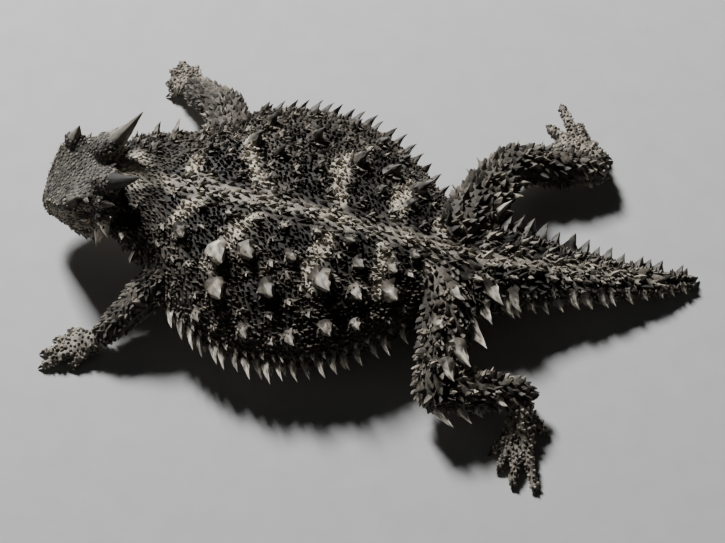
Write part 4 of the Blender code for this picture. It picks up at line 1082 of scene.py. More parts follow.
def skin_relief(places, normals, regions):
    """How far the skin rises at each place: unevenness, neck folds, mouth, pits and the spines' mounds."""
    amount = np.full(len(places), LIMB_RELIEF)
    for region, value in RELIEF.items():
        amount[regions == region] = value
    rise = (wander(places, 2.4) * 0.6 + wander(places, 1.1, 9.0) * 0.4) * amount
    steep = np.abs(normals[:, 2])
    folds = np.sin(places[:, 0] * FOLD_TURN + wander(places, 4.0, 3.0) * FOLD_WANDER)
    rise += np.where((regions == "neck") & (steep < FOLD_STEEP), folds * FOLD_HEIGHT, 0.0)
    local, head = in_head(places), regions == "head"
    mouth = np.exp(-((local[:, 2] - MOUTH_LEVEL) / MOUTH_WIDTH) ** 2)
    rise -= MOUTH_DEPTH * mouth * (steep < MOUTH_STEEP) * (local[:, 0] > MOUTH_END) * head
    for pit, reach, depth in PITS.values():
        rise -= depth * np.exp(-(beside(local, pit) / reach) ** 4) * head
    for root, _, length, _ in back_roots():
        distance = np.linalg.norm(places - np.array(root), axis=1)
        rise += MOUND_HEIGHT * length * np.exp(-(distance / (MOUND_REACH * length)) ** 2)
    return rise


def build_skin(forms, guide):
    """One skin over all the flesh: the forms fused, smoothed and given folds and mounds."""
    mesh = bmesh.new()
    for _, rings in forms:
        draw_loft(mesh, rings)
    skin = link_mesh("skin", mesh)
    round_off = skin.modifiers.new("round", "SUBSURF")
    round_off.levels = round_off.render_levels = 2
    fuse = skin.modifiers.new("fuse", "REMESH")
    fuse.mode = "VOXEL"
    fuse.voxel_size = VOXEL
    relax = skin.modifiers.new("relax", "SMOOTH")
    relax.factor, relax.iterations = RELAX
    apply_all(skin)

    places, normals = points_of(skin.data), normals_of(skin.data)
    regions, _, _ = guide.read(places)
    places = places + normals * skin_relief(places, normals, regions)[:, None]
    places[:, 2] = np.maximum(places[:, 2], FLOOR_CLEARANCE)
    skin.data.vertices.foreach_set("co", places.ravel())
    skin.data.update()
    tones = markings(places, normals, regions)
    # Painted shade: the skin that shows between the scales is darkened, by a set amount on hands and feet
    least, most, gain = SKIN_PAINTED_SHADE
    depth = np.clip(least + gain * tones.mean(axis=1), least, most)
    depth[np.isin(regions, HAND_REGIONS)] = HAND_PAINTED_SHADE
    paint_points(skin.data, "tone", tones * depth[:, None])
    skin.data.shade_smooth()
    return skin, places, regions


# Scales

def hull_form(points):
    """The closed hull of a few points as corner places and triangles."""
    mesh = bmesh.new()
    for point in points:
        mesh.verts.new(point)
    bmesh.ops.convex_hull(mesh, input=mesh.verts)
    bmesh.ops.recalc_face_normals(mesh, faces=mesh.faces)
    return form_of(mesh)


def scale_forms():
    """The three forms of scale, one long, one wide and one high: keeled leaf, round bead, low plate."""
    turns = [math.tau * k / SCALE_SIDES for k in range(SCALE_SIDES)]
    forms = {"leaf": hull_form(LEAF)}
    for name, rings in SCALE_RINGS.items():
        forms[name] = hull_form([
            (radius * math.cos(t + turn), radius * math.sin(t + turn), height)
            for radius, turn, height, skip in rings for t in turns[::skip]
        ])
    return forms


def scatter(skin, regions, keep_out):
    """Places over the skin, no two closer than the spacing of the scales there."""
    data = skin.data
    data.calc_loop_triangles()
    corners = np.empty(len(data.loop_triangles) * 3, dtype=np.int32)
    data.loop_triangles.foreach_get("vertices", corners)
    corners = corners.reshape(-1, 3)
    places, normals = points_of(data), normals_of(data)
    a, b, c = (places[corners[:, k]] for k in range(3))
    area = np.linalg.norm(np.cross(b - a, c - a), axis=1) / 2
    coats = coat_regions(places, normals, regions)
    spacing = np.array([COATS[name][0] for name in coats])[corners[:, 0]]
    share = area / spacing ** 2
    count = int(share.sum() * TRIES_EACH)
    picks = random_draw.choice(len(corners), size=count, p=share / share.sum())
    u, v = random_draw.random(count), random_draw.random(count)
    over = u + v > 1.0
    u[over], v[over] = 1.0 - u[over], 1.0 - v[over]
    spots = a[picks] + (b - a)[picks] * u[:, None] + (c - a)[picks] * v[:, None]
    weights = ((1.0 - u - v)[:, None], u[:, None], v[:, None])
    outs = unit(sum(normals[corners[picks, k]] * weight for k, weight in enumerate(weights)))
    tree = KDTree(count)
    for index, spot in enumerate(spots):
        tree.insert(spot, index)
    tree.balance()
    alive = np.ones(count, dtype=bool)
    for middle, reach in keep_out:
        for _, index, _ in tree.find_range(middle, reach):
            alive[index] = False
    chosen = []
    near = spacing[picks]
    for index in range(count):
        if alive[index]:
            chosen.append(index)
            for _, other, _ in tree.find_range(spots[index], near[index]):
                alive[other] = False
    chosen = np.array(chosen)
    return spots[chosen], outs[chosen]


def strew(name, form, roots, outs, lies, sizes, tones, spots, tilt=SCALE_TILT):
    """Joins one scale for each root into a mesh, with its colours and its patch of the unwrapped skin."""
    corners, _ = form
    lies = unit(lies - outs * np.sum(lies * outs, axis=1, keepdims=True))
    across = np.cross(outs, lies)
    lean = unit(lies + outs * tilt)
    places = roots[:, None, :]
    for k, axis in enumerate((lean, across, np.cross(lean, across))):
        places = places + corners[None, :, k:k + 1] * sizes[:, k][:, None, None] * axis[:, None, :]
    places = places + outs[:, None, :] * sizes[:, 2][:, None, None] * SCALE_LIFT
    # Painted shade darkens each scale towards its root, and painted highlight pales its top and its tip
    root_painted_shade, top_painted_highlight, tip_painted_highlight = SCALE_PAINTED_SHADE_AND_HIGHLIGHT
    shade = root_painted_shade + top_painted_highlight * np.clip(corners[:, 2] + 0.5, 0.0, 1.2)
    shade = shade + tip_painted_highlight * np.clip(corners[:, 0], 0.0, 1.0)
    colours = tones[:, None, :] * shade[None, :, None]
    return join_copies(name, form, places, FLOOR_CLEARANCE / 2, colours, spots)


def about(count, wide, spread):
    """Random rows spread evenly about nought."""
    return spread * (random_draw.random((count, wide)) - 0.5)


def build_coat(skin, guide, regions, keep_out, shift, material):
    """The scales all over the skin, in pieces by region."""
    roots, outs = scatter(skin, regions, keep_out)
    here, lies, spots = guide.read(roots)
    coats = coat_regions(roots, outs, here)
    tones = markings(roots, outs, here)
    count = len(roots)
    coats[(coats == "trunk") & (random_draw.random(count) < GRAIN_SHARE)] = "grain"
    least, more, power = TONE_VARY
    tones = tones * (least + more * random_draw.random(count) ** power)[:, None]
    rough = np.isin(coats, ROUGH_COATS)[:, None]
    vary = SIZE_VARY[0] + SIZE_VARY[1] * random_draw.random((count, 1))
    vary = vary + rough * ROUGH_VARY[0] * (random_draw.random((count, 1)) - ROUGH_VARY[1])
    shapes = SHAPE_VARY[0] + SHAPE_VARY[1] * random_draw.random((count, 3))
    sizes = np.array([COATS[name][1:4] for name in coats]) * vary * shapes
    yaw = about(count, 1, 1.0) * (YAW_VARY[0] + YAW_VARY[1] * rough)
    lies = unit(lies) + np.cross(outs, lies) * yaw
    outs = unit(outs + about(count, 3, OUT_JITTER))
    back, left = np.isin(coats, ("trunk", "ridge")), roots[:, 1] < 0.0
    groups = {"scales_back_left": back & left, "scales_back_right": back & ~left}
    groups.update({name: np.isin(coats, kinds) for name, (kinds, _) in COAT_PIECES.items()})
    forms = scale_forms()
    for name, chosen in groups.items():
        form = forms[COATS[coats[chosen][0]][4]]
        rows = (part[chosen] for part in (roots, outs, lies, sizes, tones, spots))
        slot = COAT_PIECES[name][1] if name in COAT_PIECES else "torso"
        finish_piece(strew(name, form, *rows), shift, material, slot)


# Spines

def row_at(table, x):
    """A table's row at a place along x, between its stations."""
    for low, high in zip(table, table[1:]):
        if low[0] <= x <= high[0]:
            part = (x - low[0]) / (high[0] - low[0])
            return [a + (b - a) * part for a, b in zip(low, high)]
    return list(table[-1] if x > table[-1][0] else table[0])


def on_back(table, x, share, power):
    """A point on the upper side at a share of the half width, and the way out of the skin there."""
    def point(place, part):
        _, y, half, wide, top, _, _ = row_at(table, place)
        rise = (top - wide) * max(1.0 - abs(part) ** power, 0.0) ** (1.0 / power)
        return Vector((place, y + half * part, wide + rise))
    step = 0.02
    here = point(x, share)
    inner, outer = max(share - step, -0.999), min(share + step, 0.999)
    across = point(x, outer) - point(x, inner)
    along = point(x + 0.5, share) - point(x - 0.5, share)
    return here, along.cross(across).normalized()


def near_limb(root, along, length):
    """Whether a spine would come too close to a limb."""
    points = [root + along.normalized() * length * part for part in (0.0, 0.5, 1.0)]
    for parts in LIMBS.values():
        for path in parts.values():
            for low, high in zip(path, path[1:]):
                start, end = Vector(low[:3]), Vector(high[:3])
                for point in points:
                    part = max(0.0, min(1.0, (point - start).dot(end - start) / (end - start).length_squared))
                    if (point - start.lerp(end, part)).length < max(low[3], high[3]) + 0.6:
                        return True
    return False


def fringe_roots():
    """Roots of the fringe rows: place, lean, length and radius."""
    table = torso_rows()
    made = []
    for count, length, radius, drop_angle, level in FRINGE:
        for side in (1, -1):
            for index in range(count):
                part = (index + 0.5 + 0.4 * (random_draw.random() - 0.5)) / count
                x = FRINGE_REACH[0] + (FRINGE_REACH[1] - FRINGE_REACH[0]) * part
                before, after = row_at(table, x - 0.5), row_at(table, x + 0.5)
                _, y, half, wide, _, under, _ = row_at(table, x)
                edge = Vector((1.0, (after[2] - before[2]) * side, 0.0)).normalized()
                out = Vector((-edge.y, edge.x, 0.0)) * side
                tilt = math.radians(drop_angle)
                inward = FRINGE_INSET if level else 0.0
                root = Vector((x, y + half * (1.0 - inward) * side, wide + (wide - under) * level))
                lean = out * math.cos(tilt) - ABOVE * math.sin(tilt) + edge * FRINGE_SWEEP
                set_lean, size_share = FRINGE_SIDES[side]
                lean = lean * FRINGE_FOLLOW + Vector(set_lean)
                taper = (1.0 - FRINGE_TAPER + FRINGE_TAPER * math.sin(math.pi * part)) * size_share
                size = length * taper * (0.88 + 0.2 * random_draw.random())
                if not near_limb(root, lean, size):
                    made.append((root, lean.normalized(), size, radius))
    return made


def back_lean(out, share):
    """The way a spine of the back leans: rearward, and on the left also outward the more it stands aside."""
    if share > 0.0:
        return (out + Vector(RIGHT_LEAN)).normalized()
    outward = min(1.0, abs(share) / LEAN_FULL)
    return (out * LEFT_FOLLOW + Vector((LEFT_LEAN[0], LEFT_LEAN[1] * outward, LEFT_LEAN[2]))).normalized()


def back_roots():
    """Roots of the great spines of the back."""
    table = torso_rows()
    made = []
    for x, share, length in BACK_SPINES:
        low = LOW_SPINE_SHARE if share > LOW_SPINE_FROM else 1.0
        for side in (1, -1):
            root, out = on_back(table, x, share * side, POWERS["trunk"][0])
            lean = back_lean(out, share * side)
            if not near_limb(root, lean, length):
                size = length * (0.78 + 0.2 * random_draw.random()) * low
                size = size * (FAR_SPINE_SHARE if side > 0 else 1.0)
                made.append((root, lean, size, size * STOUTNESS["back"]))
    return made


def small_back_roots(taken):
    """Roots of the lesser spines strewn between the great ones."""
    table = torso_rows()
    made = []
    for _ in range(SMALL_TRIES):
        x = SMALL_REACH[0] + SMALL_REACH[1] * random_draw.random()
        share = random_draw.random() * SMALL_SPREAD * 2.0 - SMALL_SPREAD
        length = SMALL_LENGTH[0] + SMALL_LENGTH[1] * random_draw.random()
        root, out = on_back(table, x, share, POWERS["trunk"][0])
        free = all((root - other).length > SMALL_ROOM + 0.25 * size for other, size in taken)
        if free and not near_limb(root, out, length):
            made.append((root, back_lean(out, share), length, length * STOUTNESS["back small"]))
            taken.append((root, length))
    return made


def neck_roots():
    """Roots of the neck's spines."""
    made = []
    for x, share, length in NECK_SPINES:
        for side in (1, -1):
            root, out = on_back(NECK, x, share * side, POWERS["neck"][0])
            lean = (out + Vector((NECK_LEAN[0], NECK_LEAN[1] * side, 0.0))).normalized()
            made.append((root, lean, length, length * STOUTNESS["neck"]))
    return made


def tail_roots(rows):
    """Roots of rows of the tail's spines, standing out from its edges or lying back on its top."""
    table = tail_rows()
    made = []
    for (count, first, last, long, short), share in rows:
        for index in range(count):
            for side in (1, -1):
                part = (index + 0.7 * (random_draw.random() - 0.5)) / (count - 1)
                x = first + (last - first) * part
                across = share * side * (0.94 + 0.075 * random_draw.random())
                root, out = on_back(table, x, across, POWERS["tail"][0])
                length = (long + (short - long) * part) * (0.8 + 0.3 * random_draw.random())
                lean = out + Vector((TAIL_TOP_LEAN[0], TAIL_TOP_LEAN[1] * side, 0.0))
                if share > TAIL_EDGE_FROM:
                    lean = Vector(TAIL_LEANS[side])
                kind = "tail far" if share > TAIL_RIM_FROM and side > 0 else "tail"
                made.append((root, lean.normalized(), length, length * STOUTNESS[kind]))
    return made


def lone_roots():
    """Roots of the great spines of the near leg and the tail's root."""
    return [(Vector(root), Vector(lean).normalized(), length, radius * LONE_WIDTH)
            for root, lean, length, radius in LONE_SPINES]


def limb_place(path, angle, share):
    """A point on a limb's skin, the way out of the skin there and the way the limb runs."""
    places = [Vector(row[:3]) for row in path]
    place = share * (len(path) - 1)
    index = min(int(place), len(path) - 2)
    part = place - index
    middle = places[index].lerp(places[index + 1], part)
    wide, high = (path[index][k] + (path[index + 1][k] - path[index][k]) * part for k in (3, 4))
    heading = (places[index + 1] - places[index]).normalized()
    side = ABOVE.cross(heading).normalized()
    up = heading.cross(side)
    turn = math.radians(angle)
    out = side * math.cos(turn) * wide + up * math.sin(turn) * high
    return middle + out, out.normalized(), heading


def limb_roots():
    """Roots of the limbs' spines."""
    made = []
    for limb, parts in LIMBS.items():
        for part, path in parts.items():
            for angle, shares, length in LIMB_SPINES.get(limb + "_" + part, ()):
                for share in shares:
                    root, out, heading = limb_place(path, angle, share)
                    lean = out + heading * LIMB_LEAN[0] + ABOVE * LIMB_LEAN[1]
                    made.append((root, lean.normalized(), length, length * STOUTNESS["limb"]))
    return made


def head_row(f, columns):
    """Values of the head's table at a place along it."""
    stations = [row[0] for row in HEAD[::-1]]
    return [np.interp(f, stations, [row[k] for row in HEAD[::-1]]) for k in columns]


def jaw_roots():
    """Roots of the row of spines along each edge of the jaw."""
    made = []
    frame = head_frame().to_3x3()
    back, out, rise = JAW_SPINE_LEAN
    for f, length in JAW_SPINES:
        jaw_w, jaw_z = head_row(f, (7, 8))
        for side in (1, -1):
            lean = (frame @ Vector((back, out * side, rise))).normalized()
            made.append((on_head((f, jaw_w, jaw_z), side), lean, length, length * STOUTNESS["jaw"]))
    return made


def brow_roots():
    """Roots of the keeled plates along each brow, from nostril to horn, and round the temples."""
    made = []
    frame = head_frame().to_3x3()
    for f, length in BROW_PLATES:
        brow_w, brow_z = head_row(f, (1, 2))
        for side in (1, -1):
            lean = (frame @ Vector((BROW_LEAN[0], BROW_LEAN[1] * side, BROW_LEAN[2]))).normalized()
            root = on_head((f, brow_w * BROW_INSET[0], brow_z - BROW_INSET[1]), side)
            made.append((root, lean, length * BROW_LENGTH, length * STOUTNESS["brow"]))
    for f, w, z, length in TEMPLE_PLATES:
        for side in ((1, -1) if w else (1,)):
            lean = (frame @ Vector((TEMPLE_LEAN[0], TEMPLE_LEAN[1] * w * side, TEMPLE_LEAN[2]))).normalized()
            made.append((on_head((f, w, z), side), lean, length, length * STOUTNESS["temple"]))
    return made


def settle(roots, skin_tree):
    """The roots brought onto the skin."""
    made = []
    for root, lean, length, radius in roots:
        place, _, _, _ = skin_tree.find_nearest(root)
        made.append((place, lean, length, radius))
    return made


def spine_form(kind):
    """A three-edged thorn one long along +Z, with a spreading foot sunk below nought."""
    mesh = bmesh.new()
    turns = [math.tau * k / SPINE_SIDES for k in range(SPINE_SIDES)]
    rings = []
    for step, width in zip(SPINE_STEPS, SPINE_WIDTHS[kind]):
        ring = []
        for turn in turns:
            edge = math.cos(3.0 * turn) * min(1.0, 0.5 + step * 2.0) + 0.3 * math.cos(6.0 * turn)
            keel = 1.0 + SPINE_EDGES[kind] * edge
            ring.append(Vector((width * keel * math.cos(turn), width * keel * math.sin(turn), step)))
        rings.append(ring)
    draw_loft(mesh, rings)
    return form_of(mesh)


def plant_spines(name, roots, guide, kind, bend, tone, flat):
    """Joins one spine for each root into a mesh, each bowed back a little, pale above its dark root."""
    form = spine_form(kind)
    corners = form[0]
    count, each = len(roots), len(corners)
    places, along = (np.array([tuple(row[k]) for row in roots]) for k in (0, 1))
    length, radius = (np.array([row[k] for row in roots])[:, None, None] for k in (2, 3))
    rear = np.array([1.0, 0.0, 0.15]) + about(count, 3, REAR_JITTER)
    radius = radius * (0.85 + 0.35 * random_draw.random((count, 1, 1)))
    keel = unit(rear - along * np.sum(rear * along, axis=1, keepdims=True))
    across = np.cross(along, keel)
    step = corners[None, :, 2:3]
    bow = np.maximum(step, 0.0) ** 2 - np.maximum(step, 0.0)
    around = np.arctan2(corners[:, 1], corners[:, 0])
    phase = random_draw.random((count, 2)) * math.tau
    ridges = sum(high * np.sin(number * around[None, :] + phase[:, k:k + 1] + pace * corners[None, :, 2])
                 for k, (high, number, pace) in enumerate(SPINE_RIDGES))
    radius = radius * (1.0 + ridges + about(count, each, SPINE_UNEVEN))[:, :, None]
    out = (places[:, None, :] + step * length * along[:, None, :] + bow * bend * length * keel[:, None, :]
           - corners[None, :, 0:1] * radius * flat * keel[:, None, :]
           + corners[None, :, 1:2] * radius * across[:, None, :])
    regions, _, spots = guide.read(places)
    base = markings(places, unit(along), regions)
    pale = np.array(TONES[tone]) * (0.45 + 0.75 * random_draw.random((count, 1)))
    rise = np.clip((corners[:, 2] + 0.02) / PALE_RISE, 0.0, 1.0)[None, :, None] ** 0.8
    tip = np.clip((corners[:, 2] - 0.8) / 0.2, 0.0, 1.0)[None, :, None]
    # Painted shade in the grooves between a spine's edges and painted highlight on its edges and raised
    # ridges; the rest of the mottle varies at random
    reach = np.hypot(corners[:, 0], corners[:, 1]) / np.interp(corners[:, 2], SPINE_STEPS, SPINE_WIDTHS[kind])
    groove = (0.62 + 0.42 * np.clip(reach, 0.7, 1.25))[None, :, None]
    mottle = (0.42 + 1.05 * random_draw.random((count, each)) + 2.6 * ridges)[:, :, None]
    colours = base[:, None, :] * (1.0 - rise) + pale[:, None, :] * rise
    colours = colours * (1.0 - TIP_SHADE * tip) * groove * mottle
    piece = join_copies(name, form, out, FLOOR_CLEARANCE, colours, spots)
    turn = (around / math.tau + 0.5)[None, :] + np.arange(count)[:, None]
    grain = np.stack([turn, np.broadcast_to(corners[None, :, 2], (count, each))], axis=2)
    map_points(piece.data, "grain", grain.reshape(-1, 2))
    piece.data.shade_smooth()
    piece.data.set_sharp_from_angle(angle=math.radians(SHARP_ANGLE))
    return piece


def build_collars(name, roots, skin_tree, guide, shift, material, slot):
    """The small leaves that stand round the foot of each spine."""
    places, outs, lies, sizes = [], [], [], []
    for root, along, _, radius in roots:
        count = max(COLLAR_LEAST, int(math.tau * radius * COLLAR_REACH / COLLAR_SPACING))
        side = along.orthogonal().normalized()
        other = along.cross(side)
        start = random_draw.random() * math.tau
        for k in range(count):
            turn = start + math.tau * k / count
            ray = side * math.cos(turn) + other * math.sin(turn)
            place, normal, _, _ = skin_tree.find_nearest(root + ray * radius * COLLAR_REACH)
            places.append(tuple(place + normal * COLLAR_LIFT))
            outs.append(tuple((ray * 0.55 + normal * 0.9 - along * 0.3).normalized()))
            lies.append(tuple(along * 0.55 + ray * 0.6))
            sizes.append(0.7 + 0.3 * min(radius, 1.8) + 0.3 * random_draw.random())
    places, outs, lies, sizes = (np.array(rows) for rows in (places, outs, lies, sizes))
    regions, _, spots = guide.read(places)
    tones = markings(places, outs, regions) * 0.7
    tones = tones + np.array(TONES["spine"]) * (0.1 + 0.4 * random_draw.random((len(places), 1)))
    sizes = np.stack([sizes * share for share in COLLAR_LEAF], axis=1)
    piece = strew(name, scale_forms()["leaf"], places, outs, lies, sizes, tones, spots, COLLAR_TILT)
    finish_piece(piece, shift, material, slot)


def spine_roots():
    """The roots of every group of spines."""
    great, edges, fringe = back_roots(), tail_roots(TAIL_EDGES), fringe_roots()
    return {
        "spines_fringe": [row for row in fringe if row[1].y < 0.0],
        "spines_fringe_far": [row for row in fringe if row[1].y > 0.0],
        "spines_back_left": [row for row in great if row[0].y < 0.0],
        "spines_back_right": [row for row in great if row[0].y > 0.0],
        "spines_back_small": small_back_roots([(row[0], row[2]) for row in great]),
        "spines_neck": neck_roots(),
        "spines_tail_far": [row for row in edges if row[1].y > 0.0],
        "spines_tail_near": [row for row in edges if row[1].y < 0.0],
        "spines_tail_top": tail_roots(TAIL_TOPS),
        "spines_limbs": limb_roots(),
        "spines_leg": lone_roots(),
        "spines_jaw": jaw_roots(),
        "spines_brow": brow_roots(),
    }


def build_spines(skin_tree, guide, shift, spine_material, scale_material):
    """All the spines with their collars. Returns the room that each takes."""
    room = []
    for name, roots in spine_roots().items():
        kind, bend, tone, flat, slot, ringed = SPINE_GROUPS[name]
        roots = settle(roots, skin_tree)
        finish_piece(plant_spines(name, roots, guide, kind, bend, tone, flat), shift, spine_material, slot)
        if ringed:
            collar = name.replace("spines", "collars")
            build_collars(collar, roots, skin_tree, guide, shift, scale_material, slot)
        room += [(root, radius * SPINE_ROOM) for root, _, _, radius in roots]
    return room


# Horns, eyes, lids and claws

def horn_rings(kind, line):
    """Rings of a horn, grooved along its length."""
    turns = [math.tau * k / HORN_SIDES for k in range(HORN_SIDES)]
    rings = []
    for step in range(HORN_STEPS + 1):
        middle, width = horn_place(kind, line, step / HORN_STEPS)
        swell = 1.0 + HORN_RING * math.sin(step * HORN_RING_TURN)
        ring = []
        for turn in turns:
            ray = line[2] * math.cos(turn) + line[3] * math.sin(turn)
            groove = 1.0 + HORN_GROOVE * math.sin(turn * HORN_GROOVES + step * HORN_TWIST)
            groove = groove + HORN_UNEVEN * noise.noise(ray * 2.0 + middle)
            ring.append(middle + ray * width * groove * swell)
        rings.append(ring)
    return rings


def build_horns(shift, material):
    """The crown's horns, each rising from the skin of its foot."""
    for kind in HORNS:
        for side, word in SIDE_WORDS:
            name = kind + "_" + word
            line = horn_line(kind, side)
            start, end, right, other = line
            horn = loft_piece(name + "_horn", horn_rings(kind, line))
            places, along = points_of(horn.data), np.array(end - start)
            part = np.clip((places - np.array(start)) @ along / (along @ along), 0.0, 1.0)
            local = (places - np.array(start)) @ np.array([tuple(right), tuple(other)]).T
            turn = np.arctan2(local[:, 1], local[:, 0]) / math.tau
            tip = np.clip((part - 0.55) / 0.45, 0.0, 1.0)[:, None] ** 1.5
            foot = np.clip((0.6 - part) / 0.35, 0.0, 1.0)[:, None]
            tone = np.array(TONES["horn"]) * (1.0 - tip) + np.array(TONES["horn_tip"]) * tip
            tone = tone * (1.0 - HORN_FOOT_TINT * foot) + np.array(TONES["crown"]) * HORN_FOOT_TINT * foot
            # Painted shade or painted light on some of the left horns
            tone = tone * HORN_PAINTED_SHADE_AND_LIGHT.get(name, 1.0)
            paint_points(horn.data, "tone", tone * (1.0 + 0.35 * wander(places, 0.8)[:, None]))
            map_points(horn.data, "grain", np.stack([turn, part], axis=1))
            horn.data.shade_smooth()
            finish_piece(horn, shift, material, name, name)


class EyePlace:
    """The place of an eye and its directions: its gaze, ahead and above."""

    def __init__(self, side):
        frame = head_frame()
        forward, left, up = (frame.col[k].to_3d() for k in range(3))
        ahead, out, rise = GAZE
        self.middle = on_head(EYE_PLACE, side)
        self.gaze = (left * side * out + forward * ahead + up * rise).normalized()
        self.ahead = (forward - self.gaze * forward.dot(self.gaze)).normalized()
        self.above = self.gaze.cross(self.ahead) * side

    def spot(self, angle, turn, radius):
        """A point round the eye at an angle from its gaze."""
        ray = self.ahead * math.cos(turn) + self.above * math.sin(turn)
        return self.middle + (self.gaze * math.cos(angle) + ray * math.sin(angle)) * radius

    def lid_spot(self, share, turn, radius):
        """A point of the lids at a share of the way from their open edge to their outer one."""
        edge = lid_edge(turn)
        return self.spot(edge + (math.radians(LID_OUTER) - edge) * share, turn, radius)


def lid_edge(turn):
    """How far the lids stand open from the middle of the eye, as an angle, for a direction round it."""
    wide, tall = (math.radians(angle) for angle in LID_OPENING)
    c, s = abs(math.cos(turn)), abs(math.sin(turn))
    return 1.0 / ((c / wide) ** LID_POWER + (s / tall) ** LID_POWER) ** (1.0 / LID_POWER)


def build_eyeball(eye, word, shift, material):
    """An eyeball, with the angle from its gaze and the turn round it as its colour."""
    mesh = bmesh.new()
    turned = Matrix.Translation(eye.middle) @ eye.gaze.to_track_quat("Z", "Y").to_matrix().to_4x4()
    bmesh.ops.create_uvsphere(mesh, u_segments=48, v_segments=32, radius=EYE_RADIUS, matrix=turned)
    ball = link_mesh("eyeball_" + word, mesh)
    rays = unit(points_of(ball.data) - np.array(eye.middle))
    angle = np.arccos(np.clip(rays @ np.array(eye.gaze), -1.0, 1.0))
    turn = np.arctan2(rays @ np.array(eye.above), rays @ np.array(eye.ahead)) / math.tau
    paint_points(ball.data, "tone", np.stack([angle / math.pi, turn + 0.5, angle * 0.0], axis=1))
    ball.data.shade_smooth()
    finish_piece(ball, shift, material, "eye_" + word, "eye_" + word)


def build_lids(eye, word, shift, material):
    """The lids of an eye with their folds."""
    turns = [math.tau * k / LID_SIDES for k in range(LID_SIDES)]
    lid = loft_piece("lids_" + word, [
        [eye.lid_spot(share, turn, EYE_RADIUS + rise * LID_DEPTH * LID_FOLD) for turn in turns]
        for share, rise in LID_PROFILE
    ])
    places = points_of(lid.data)
    tone = np.tile(np.array(TONES["face"]) * LID_TONE, (len(places), 1))
    paint_points(lid.data, "tone", tone * (1.0 + 0.4 * wander(places, 0.5))[:, None])
    lid.data.shade_smooth()
    finish_piece(lid, shift, material, "head")


def build_lid_scales(eye, word, shift, material, guide):
    """The rows of fine scales on the lids of an eye."""
    roots, outs, lies, sizes = [], [], [], []
    front = eye.spot(0.0, 0.0, EYE_RADIUS)
    for row, (share, size) in enumerate(LID_SCALES):
        count = int(24 + 30 * share)
        edge_row = row == 0
        for k in range(count):
            turn = math.tau * (k + 0.5 * (row % 2)) / count
            place = eye.lid_spot(share, turn, EYE_RADIUS + LID_DEPTH * 0.9)
            roots.append(tuple(place))
            outs.append(tuple((place - eye.middle).normalized()))
            lies.append(tuple((place - front).normalized() * (-1.0 if edge_row else 1.0)))
            sizes.append((size * (1.3 if edge_row else 1.0), size * 0.9, size * 0.5))
    roots, outs, lies, sizes = (np.array(rows) for rows in (roots, outs, lies, sizes))
    _, _, spots = guide.read(roots)
    tones = np.array(TONES["crown"]) * (1.4 + 2.2 * random_draw.random((len(roots), 1)))
    piece = strew("lid_scales_" + word, scale_forms()["bead"], roots, outs, lies, sizes, tones, spots)
    finish_piece(piece, shift, material, "head")


def claw_rings(root, tip):
    """Rings of a curved claw from inside the end of its digit to its point."""
    end = Vector(digit_path(root, tip)[-1][:3])
    point = Vector((tip[0], tip[1], CLAW_HEIGHT))
    along = (point - end).normalized()
    start = end - along * CLAW_SINK
    side = ABOVE.cross(along).normalized()
    up = along.cross(side) * -1.0
    turns = [math.tau * k / CLAW_SIDES for k in range(CLAW_SIDES)]
    rings = []
    for step in range(CLAW_STEPS + 1):
        part = step / CLAW_STEPS
        middle = start.lerp(point, part) + ABOVE * CLAW_HEIGHT * math.sin(math.pi * part ** 0.8)
        width = CLAW_WIDTH * (1.0 - part) ** 0.7 + CLAW_TIP
        rings.append([
            middle + side * math.cos(t) * width * CLAW_FLAT + up * math.sin(t) * width for t in turns
        ])
    return rings


def build_claws(shift, material):
    """A curved claw on each digit, joined for each foot."""
    for limb, digits in DIGITS.items():
        mesh = bmesh.new()
        for root, tip in digits:
            draw_loft(mesh, claw_rings(root, tip))
        claws = link_mesh("claws_" + limb, mesh)
        places = points_of(claws.data)
        places[:, 2] = np.maximum(places[:, 2], FLOOR_CLEARANCE)
        claws.data.vertices.foreach_set("co", places.ravel())
        tone = np.tile(np.array(TONES["claw"]), (len(places), 1)) * (1.0 + 0.5 * wander(places, 0.6))[:, None]
        paint_points(claws.data, "tone", tone)
        claws.data.shade_smooth()
        finish_piece(claws, shift, material, limb + ("_hand" if "front" in limb else "_foot"))


# Materials

def new_material(name):
    """A node material, its tree and its shader."""
    material = bpy.data.materials.new(name)
    material.use_nodes = True
    return material, material.node_tree, material.node_tree.nodes["Principled BSDF"]


def set_inputs(node, values):
    """Sets constant values on a node's own inputs."""
    for name, value in values.items():
        node.inputs[name].default_value = value


def add_node(tree, kind, inputs=None, **settings):
    """A node with its settings and with constant values on its inputs."""
    node = tree.nodes.new(kind)
    for name, value in settings.items():
        setattr(node, name, value)
    set_inputs(node, inputs or {})
    return node


def join(tree, *links):
    """Links nodes: for each link a node and its output, then a node and its input."""
    for source, out, target, into in links:
        tree.links.new(source.outputs[out], target.inputs[into])


def weather_group():
    """Fine natural variation of a colour, with roughness and height to match."""
    group = bpy.data.node_groups.new("weathering", "ShaderNodeTree")
    for name, kind in WEATHER_INPUTS:
        group.interface.new_socket(name, in_out="INPUT", socket_type="NodeSocket" + kind)
    for name, kind in WEATHER_OUTPUTS:
        group.interface.new_socket(name, in_out="OUTPUT", socket_type="NodeSocket" + kind)
    given, result = add_node(group, "NodeGroupInput"), add_node(group, "NodeGroupOutput")
    grain = add_node(group, "ShaderNodeTexNoise", {"Detail": 5.0, "Roughness": 0.62})
    spread = add_node(group, "ShaderNodeMapRange", WEATHER_SPREAD)
    scaled = add_node(group, "ShaderNodeMix", data_type="RGBA", blend_type="MULTIPLY")
    rough = add_node(group, "ShaderNodeMath", {1: WEATHER_ROUGH}, operation="MULTIPLY_ADD")
    join(group, (given, "Place", grain, "Vector"), (given, "Size", grain, "Scale"),
         (grain, "Fac", spread, "Value"), (given, "Strength", scaled, "Factor"),
         (given, "Colour", scaled, "A"), (spread, "Result", scaled, "B"), (grain, "Fac", rough, 0),
         (given, "Shine", rough, 2), (scaled, "Result", result, "Colour"),
         (rough, "Value", result, "Roughness"), (grain, "Fac", result, "Height"))
    return group


